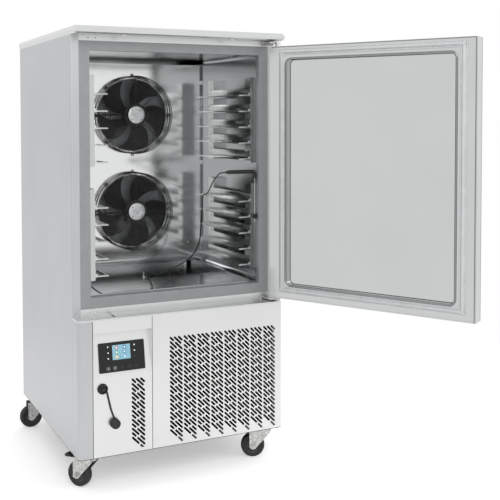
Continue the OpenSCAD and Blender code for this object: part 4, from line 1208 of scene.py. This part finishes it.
    def rubber_cap(self) -> None:
        """Mould the cap as a cup with a rolled lip, and its flat strap with the ring round the collar."""
        x, z = self.socket
        cap_x, cap_z = self.cap
        cup, strap = Shape(), Shape()
        cup.lathe(CUP_PROFILE, point(cap_x, 0, cap_z), Y_AXIS, 48, False)
        for k in range(3):
            cup.hoop(point(cap_x, -432 + 3.2 * k, cap_z), Y_AXIS, 16.5, 0.5, 48, 6)
        cup.piece("socket_cap_cup", CAP_RUBBER, "black_rubber", Body.CAP.value, replaces=("socket_cap",))
        strap.lathe(STRAP_RING_PROFILE, point(x, 0, z), Y_AXIS, 48)
        spine = [(x + 14, z - 9), (x + 21, z - 40), (x + 29, z - 75), (cap_x - 1, cap_z + 16)]
        half = self.strap_width / 2
        outline = [point(a + half, -424, b) for a, b in spine]
        outline += [point(a - half, -424, b) for a, b in spine[::-1]]
        strap.plate(outline, Y_AXIS * 3.4 * MM)
        strap.piece("socket_cap_strap", CAP_RUBBER, "black_rubber", Body.CAP.value)

    def slot_shade_sheets(self) -> None:
        """Lay near-black sheets right behind the slots: painted shade, standing for the dark compartment
        behind them.
        """
        near, far = self.slot_shade_y
        for number, (x0, z0, x1, z1) in enumerate(self.slot_shade_boxes, 1):
            shade_block = Shape().block(point(x0, near, z0), point(x1, far, z1), 0.4)
            shade_block.piece(f"vent_slot_painted_shade_{number}", SLOT_SHADE_SHEET, "black_plastic")

    def build(self) -> None:
        """Dress the front and add what sits on it."""
        # Near-black sheets behind the vent slots: painted shade
        self.slot_shade_sheets()
        # Front sheets: painted light, a lighter tone of the stainless
        dress({FRONT_SHEET_PAINTED_LIGHT: ("control_panel", "grille_panel"), GLASS: ("display_glass",),
               BLACK_ABS: ("data_socket",), CAP_RUBBER: ("socket_cap",)})
        self.display()
        self.socket_thread()
        self.rubber_cap()


# ---- Fans and machinery ----

# Radius and place along the fan's axis, in millimetres
HEAD_PROFILE = [(0, -1.8), (1.6, -1.6), (2.8, -0.9), (3.1, 0)]
MOTOR_CAP_PROFILE = [(0, -3.4), (6, -3.4), (7, -2.2), (12, -2.2), (13, -1.2), (22, -1.2), (23, -2.0),
                     (32, -2.0), (35, -1.2), (36.4, 0.8), (36.4, 9), (0, 9)]
MOTOR_SCREW_PROFILE = [(0, -1.3), (1.8, -1.1), (2.5, 0), (2.5, 0.6), (0, 0.6)]
ROTOR_HUB_PROFILE = [(5, -11), (36, -11), (39.5, -8), (40, -2), (40, 19), (5, 19)]


@dataclass
class AxialFan:
    """An axial fan: wire basket, motor cap, hub, five sickle blades and the motor's cable."""

    tag: str
    height: float
    body: Body
    x: float = 20.0
    front: float = 150.0
    panel: float = 200.0
    inner: float = 44.0
    outer: float = 156.0
    rim: float = 160.4
    hoops: int = 18
    wire: float = 1.15
    spokes: int = 8
    spoke_wire: float = 1.5
    motor_front: float = 145.0
    motor_screws: Pair = (27.5, 143.2)
    cable_width: float = 7.0
    cable_run: tuple[Triple, ...] = (
        (-36, 153, 0), (-60, 147.5, 1), (-110, 147, 0), (-150, 149, -2), (-170, 158, -6), (-178, 178, -12),
        (-180, 201, -16))
    hub: float = 38.5
    tip: float = 145.0
    blades: int = 5
    blade_sheet: float = 1.8

    def at(self, y: float) -> Vector:
        """Return the place on the axis at a depth."""
        return point(self.x, y, self.height)

    def polar(self, radius: float, degrees: float, y: float) -> Vector:
        """Return a place by its radius and angle about the axis."""
        a = math.radians(degrees)
        return point(self.x + radius * math.cos(a), y, self.height + radius * math.sin(a))

    def basket(self, replaces: tuple[str, ...]) -> None:
        """Weld the basket: hoops that step back towards the rim, spokes, side hoops, legs and feet.

        Args:
            replaces: Nodes that the basket stands for.
        """
        shape, heads = Shape(), Shape()
        for k in range(self.hoops):
            share = k / (self.hoops - 1)
            radius = self.inner + (self.outer - self.inner) * share
            shape.hoop(self.at(self.front + 1.3 + 1.5 * share ** 3), Y_AXIS, radius, self.wire, 64, 6)
        for y in (self.front + 1.8, self.front + 24, self.panel - 2.2):
            shape.hoop(self.at(y), Y_AXIS, self.rim, 1.6, 72, 6)
        for k in range(self.spokes):
            a = 360 / self.spokes * k
            knee = self.polar(self.rim - 2.6, a, self.front + 4)
            shape.rod(self.polar(self.inner - 5, a, self.front + 3.4), knee, self.spoke_wire, 8)
            shape.rod(knee, self.polar(self.rim - 2.6, a, self.panel - 1), self.spoke_wire, 8)
            place = Matrix.Translation(self.at(0)) @ Matrix.Rotation(-math.radians(a), 4, "Y")
            shape.block(point(self.rim - 4, self.panel - 2, -6), point(self.rim + 10.5, self.panel, 6), 0.6,
                        place)
            heads.lathe(HEAD_PROFILE, self.polar(self.rim + 6, a, self.panel - 2), Y_AXIS, 16, False)
        shape.piece(f"{self.tag}_guard_basket", GUARD_ENAMEL, "black_enamel", replaces=replaces)
        heads.piece(f"{self.tag}_guard_screws", SCREW_STEEL, "brushed_steel")

    def motor(self) -> None:
        """Turn the motor's cap with its steps, put its screws on and lay its cable."""
        cap, screws = Shape(), Shape()
        cap.lathe(MOTOR_CAP_PROFILE, self.at(self.motor_front), Y_AXIS, 56, False)
        cap.piece(f"{self.tag}_motor_cap", MOTOR_CASTING, "motor_silver")
        radius, y = self.motor_screws
        for degrees in (45, 135, 225, 315):
            screws.lathe(MOTOR_SCREW_PROFILE, self.polar(radius, degrees, y), Y_AXIS, 14, False)
        screws.piece(f"{self.tag}_motor_screws", BLACK_ENAMEL, "black_plastic")
        cable(f"{self.tag}_motor_cable", [self.at(0) + point(*p) for p in self.cable_run], self.cable_width)

    def on_blade(self, number: int, along: float, across: float) -> Vector:
        """Return a place on a blade.

        Args:
            number: Number of the blade.
            along: 0 at the hub to 1 at the tip.
            across: -1 to 1 across the blade.

        Returns:
            The place in metres.
        """
        radius = self.hub + (self.tip - self.hub) * along
        middle = 360 / self.blades * number + 6 - 22 * along ** 2
        width = 23 + 4 * along - 3 * along ** 3
        twist = 12.5 - 6.0 * along
        return self.polar(radius, middle + width * across, 204 - twist * across + 1.8 * (1 - across ** 2))

    def rotor(self, node: str) -> None:
        """Mould the hub and the blades, each a grid swept and twisted to its form.

        Args:
            node: Node that the rotor stands for.
        """
        hub, shape = Shape(), Shape()
        hub.lathe(ROTOR_HUB_PROFILE, self.at(self.panel), Y_AXIS, 48)
        hub.piece(f"{self.tag}_rotor_hub", FAN_PLASTIC, "fan_plastic", self.body.value, replaces=(node,))
        for number in range(self.blades):
            made = bmesh.ops.create_grid(shape.bm, x_segments=12, y_segments=8, size=1.0)
            for vert in made["verts"]:
                vert.co = self.on_blade(number, (vert.co.x + 1) / 2, vert.co.y)
        bmesh.ops.solidify(shape.bm, geom=shape.bm.faces[:], thickness=self.blade_sheet * MM)
        shape.piece(f"{self.tag}_rotor_blades", FAN_PLASTIC, "fan_plastic", self.body.value)

    def build(self, node: str, replaces: tuple[str, ...]) -> None:
        """Make the fan's pieces.

        Args:
            node: Node that the rotor stands for.
            replaces: Nodes that the basket stands for.
        """
        self.basket(replaces)
        self.motor()
        self.rotor(node)


def dress_machinery() -> None:
    """Dress what works in the machine compartment and behind the fan panel."""
    dress({
        BLACK_ENAMEL: ("compressor", "condenser_motor", "condenser_shroud"),
        MOUNT_RUBBER: ("compressor_mounts",),
        COIL_FINS: ("evaporator_coil",),
        # Condenser coil: painted shade, near-black fins
        CONDENSER_FINS_PAINTED_SHADE: ("condenser_coil",),
        GALVANISED: ("condenser_rotor", "electrical_box"),
        COPPER: ("refrigerant_pipes",),
        BLACK_ABS: ("fan_motors",),
        GUARD_ENAMEL: ("fan_guards",),
        FAN_PLASTIC: ("upper_fan_rotor", "lower_fan_rotor"),
    })


# ---- Door ----

# Distance outward from a rectangle and Y, in millimetres, on the closed door
FOLD_SECTION = [(-1.5, -361.6), (-0.5, -359.8), (1.5, -358.9), (4, -358.9), (6, -359.8), (7, -361.6),
                (6.5, -362.4), (-1.5, -362.4)]
GASKET_SECTION = [(0, -362), (0, -360.2), (-3, -359.4), (-4, -360.6), (-5, -360.6), (-6, -357), (-8, -355.4),
                  (-14, -355.2), (-16, -357), (-17, -360.6), (-18, -360.6), (-19.5, -358.6), (-22, -358.4),
                  (-24, -360.4), (-24, -362)]


@dataclass
class Door:
    """Door with its skin, liner, gasket, bushes and brackets; places are given on it closed."""

    hinge: Triple = (381, -407, 0)
    angle: float = 120.0
    plug: Triple = (-372, -391, 1550)
    recess: tuple[Pair, Pair] = ((-324, 674), (316, 1500))
    gasket: tuple[Pair, Pair] = ((-363, 643), (348, 1540))
    upright: Pair = (621, 1549)
    inner_roll: Triple = (-391.6, -364.4, 2.8)
    outer_roll: Triple = (-386.2, -412.2, 8.1)
    top_roll: Triple = (-364.2, 1547.4, 2.5)
    top_run: Pair = (-390, 378)

    def opened(self) -> Matrix:
        """Return the turn that takes the closed door to its open place.

        Returns:
            The turn.
        """
        hinge = point(*self.hinge)
        return (Matrix.Translation(hinge) @ Matrix.Rotation(math.radians(self.angle), 4, "Z")
                @ Matrix.Translation(-hinge))

    def hole_plug(self) -> None:
        """Press the round plug into the top of the door's free edge."""
        shape = Shape()
        centre = self.opened() @ point(*self.plug)
        shape.lathe([(0, 1.4), (4.4, 1.3), (5.4, 0.8), (5.6, 0)], centre, Z_AXIS, 24, False)
        shape.piece("door_top_plug", BLACK_ABS, "black_plastic", Body.DOOR.value)

    def folds(self) -> None:
        """Roll the edge of the liner's recess in a darker stainless that paints shade along it, and mould the
        gasket with its lips and bulb.
        """
        turn = self.opened()
        Shape().surround(*self.recess, 18, FOLD_SECTION).turned(turn).piece(
            "door_recess_fold", FOLD_SHEET_PAINTED_SHADE, "brushed_steel", Body.DOOR.value)
        Shape().surround(*self.gasket, 3, GASKET_SECTION, 3).turned(turn).piece(
            "door_gasket_profile", SEAL_PVC, "gasket", Body.DOOR.value, replaces=("door_gasket",))

    def rolls(self) -> None:
        """Roll the skin's corners along the free edge and the top, in a darker stainless that paints shade
        along them.
        """
        shape = Shape()
        low, high = self.upright
        for (x, y, radius), sides in ((self.inner_roll, 16), (self.outer_roll, 32)):
            shape.rod(point(x, y, low), point(x, y, high), radius, sides)
        y, z, radius = self.top_roll
        shape.rod(point(self.top_run[0], y, z), point(self.top_run[1], y, z), radius, 16)
        shape.turned(self.opened()).piece(
            "door_rolled_corners", ROLLED_EDGE_PAINTED_SHADE, "brushed_steel", Body.DOOR.value)

    def build(self) -> None:
        """Dress the door and add its plug, folds and rolled corners."""
        dress({DOOR_SHEET: ("door_skin",), DOOR_LINER: ("door_liner",), SEAL_PVC: ("door_gasket",),
               BLACK_ABS: ("door_bushes",), ZINC: ("hinge_brackets",)})
        self.hole_plug()
        self.folds()
        self.rolls()


# ---- Castors ----

# Radius and place along the axle, in millimetres
TYRE_HALF = [(28.5, 12.5), (32, 14.6), (36, 15.6), (40, 15.2), (42.6, 13.2), (44.2, 10), (44.85, 5)]
HUB_HALF = [(28.6, 12.6), (25.5, 11.6), (22, 8.4), (11.5, 10), (10.5, 14.6), (9.5, 16), (5.2, 16)]


@dataclass
class Castor:
    """A swivel castor: tyre on a hub, nuts on the axle and, in front, a brake pedal."""

    tag: str
    x: float
    y: float
    angle: float
    trail: float = 40.0
    axle: float = 45.0
    nut_face: float = 26.4
    nut_radius: float = 8.6
    nut_height: float = 4.2
    bolt_radius: float = 4.6
    bolt_end: float = 6.4

    def local(self, along: float, across: float, z: float) -> Vector:
        """Return a place from the castor's own directions, in millimetres.

        Args:
            along: Distance behind the swivel.
            across: Distance along the axle.
            z: Height.

        Returns:
            The place in metres.
        """
        a = math.radians(self.angle)
        return point(self.x + along * math.cos(a) - across * math.sin(a),
                     self.y + along * math.sin(a) + across * math.cos(a), z)

    def axis(self) -> Vector:
        """Return the direction of the axle."""
        a = math.radians(self.angle)
        return Vector((-math.sin(a), math.cos(a), 0))

    def wheel(self) -> None:
        """Turn the tyre with its crowned tread and the dished hub with its raised boss."""
        centre, axis = self.local(self.trail, 0, self.axle), self.axis()
        body = f"{self.tag}_roller"
        tyre, hub = Shape(), Shape()
        tyre.lathe([(r, -a) for r, a in TYRE_HALF] + [(self.axle, 0)] + TYRE_HALF[::-1], centre, axis, 72)
        tyre.piece(f"{self.tag}_tyre", TYRE_RUBBER, "wheel_rubber", body, replaces=(f"{self.tag}_wheel",))
        hub.lathe([(r, -a) for r, a in HUB_HALF[::-1]] + HUB_HALF, centre, axis, 56)
        hub.piece(f"{self.tag}_hub", NYLON, "wheel_rubber", body)

    def nuts(self) -> None:
        """Put a six-sided nut and the bolt's end on each end of the axle."""
        shape = Shape()
        for side in (-1, 1):
            face, out = self.local(self.trail, side * self.nut_face, self.axle), self.axis() * side * MM
            shape.rod(face, face + out * self.nut_height, self.nut_radius, 6)
            shape.rod(face + out * 4, face + out * self.bolt_end, self.bolt_radius, 20, 3.8)
        shape.piece(f"{self.tag}_axle_nuts", ZINC, "zinc", f"{self.tag}_castor")

    def build(self, pedal: str = "") -> None:
        """Dress the fork and make the wheel, the nuts and the pedal's finish.

        Args:
            pedal: Node of the brake pedal, where it has one.
        """
        dress({ZINC: (f"{self.tag}_fork",), TYRE_RUBBER: (f"{self.tag}_wheel",)})
        if pedal:
            dress({BLACK_ABS: (pedal,)})
        self.wheel()
        self.nuts()


def main() -> None:
    """Build the studio and the sub-assemblies in order."""
    logging.basicConfig(level=logging.INFO, format="%(message)s")
    studio = Studio()
    studio.camera()
    CoreProbe().build()
    studio.light()
    CabinetShell().build()
    TrayRacks().build()
    ControlFront().build()
    dress_machinery()
    AxialFan("upper", 1300.0, Body.UPPER_FAN).build("upper_fan_rotor", ("fan_guards",))
    AxialFan("lower", 900.0, Body.LOWER_FAN).build("lower_fan_rotor", ("fan_guards",))
    Door().build()
    dress({ZINC: ("castor_plates",)})
    Castor("front_left", -342, -362, 125).build("left_brake_pedal")
    Castor("front_right", 342, -362, 159).build("right_brake_pedal")
    Castor("rear_left", -342, 345, 180).build()
    Castor("rear_right", 342, 345, 150).build()


if __name__ == "__main__":
    main()
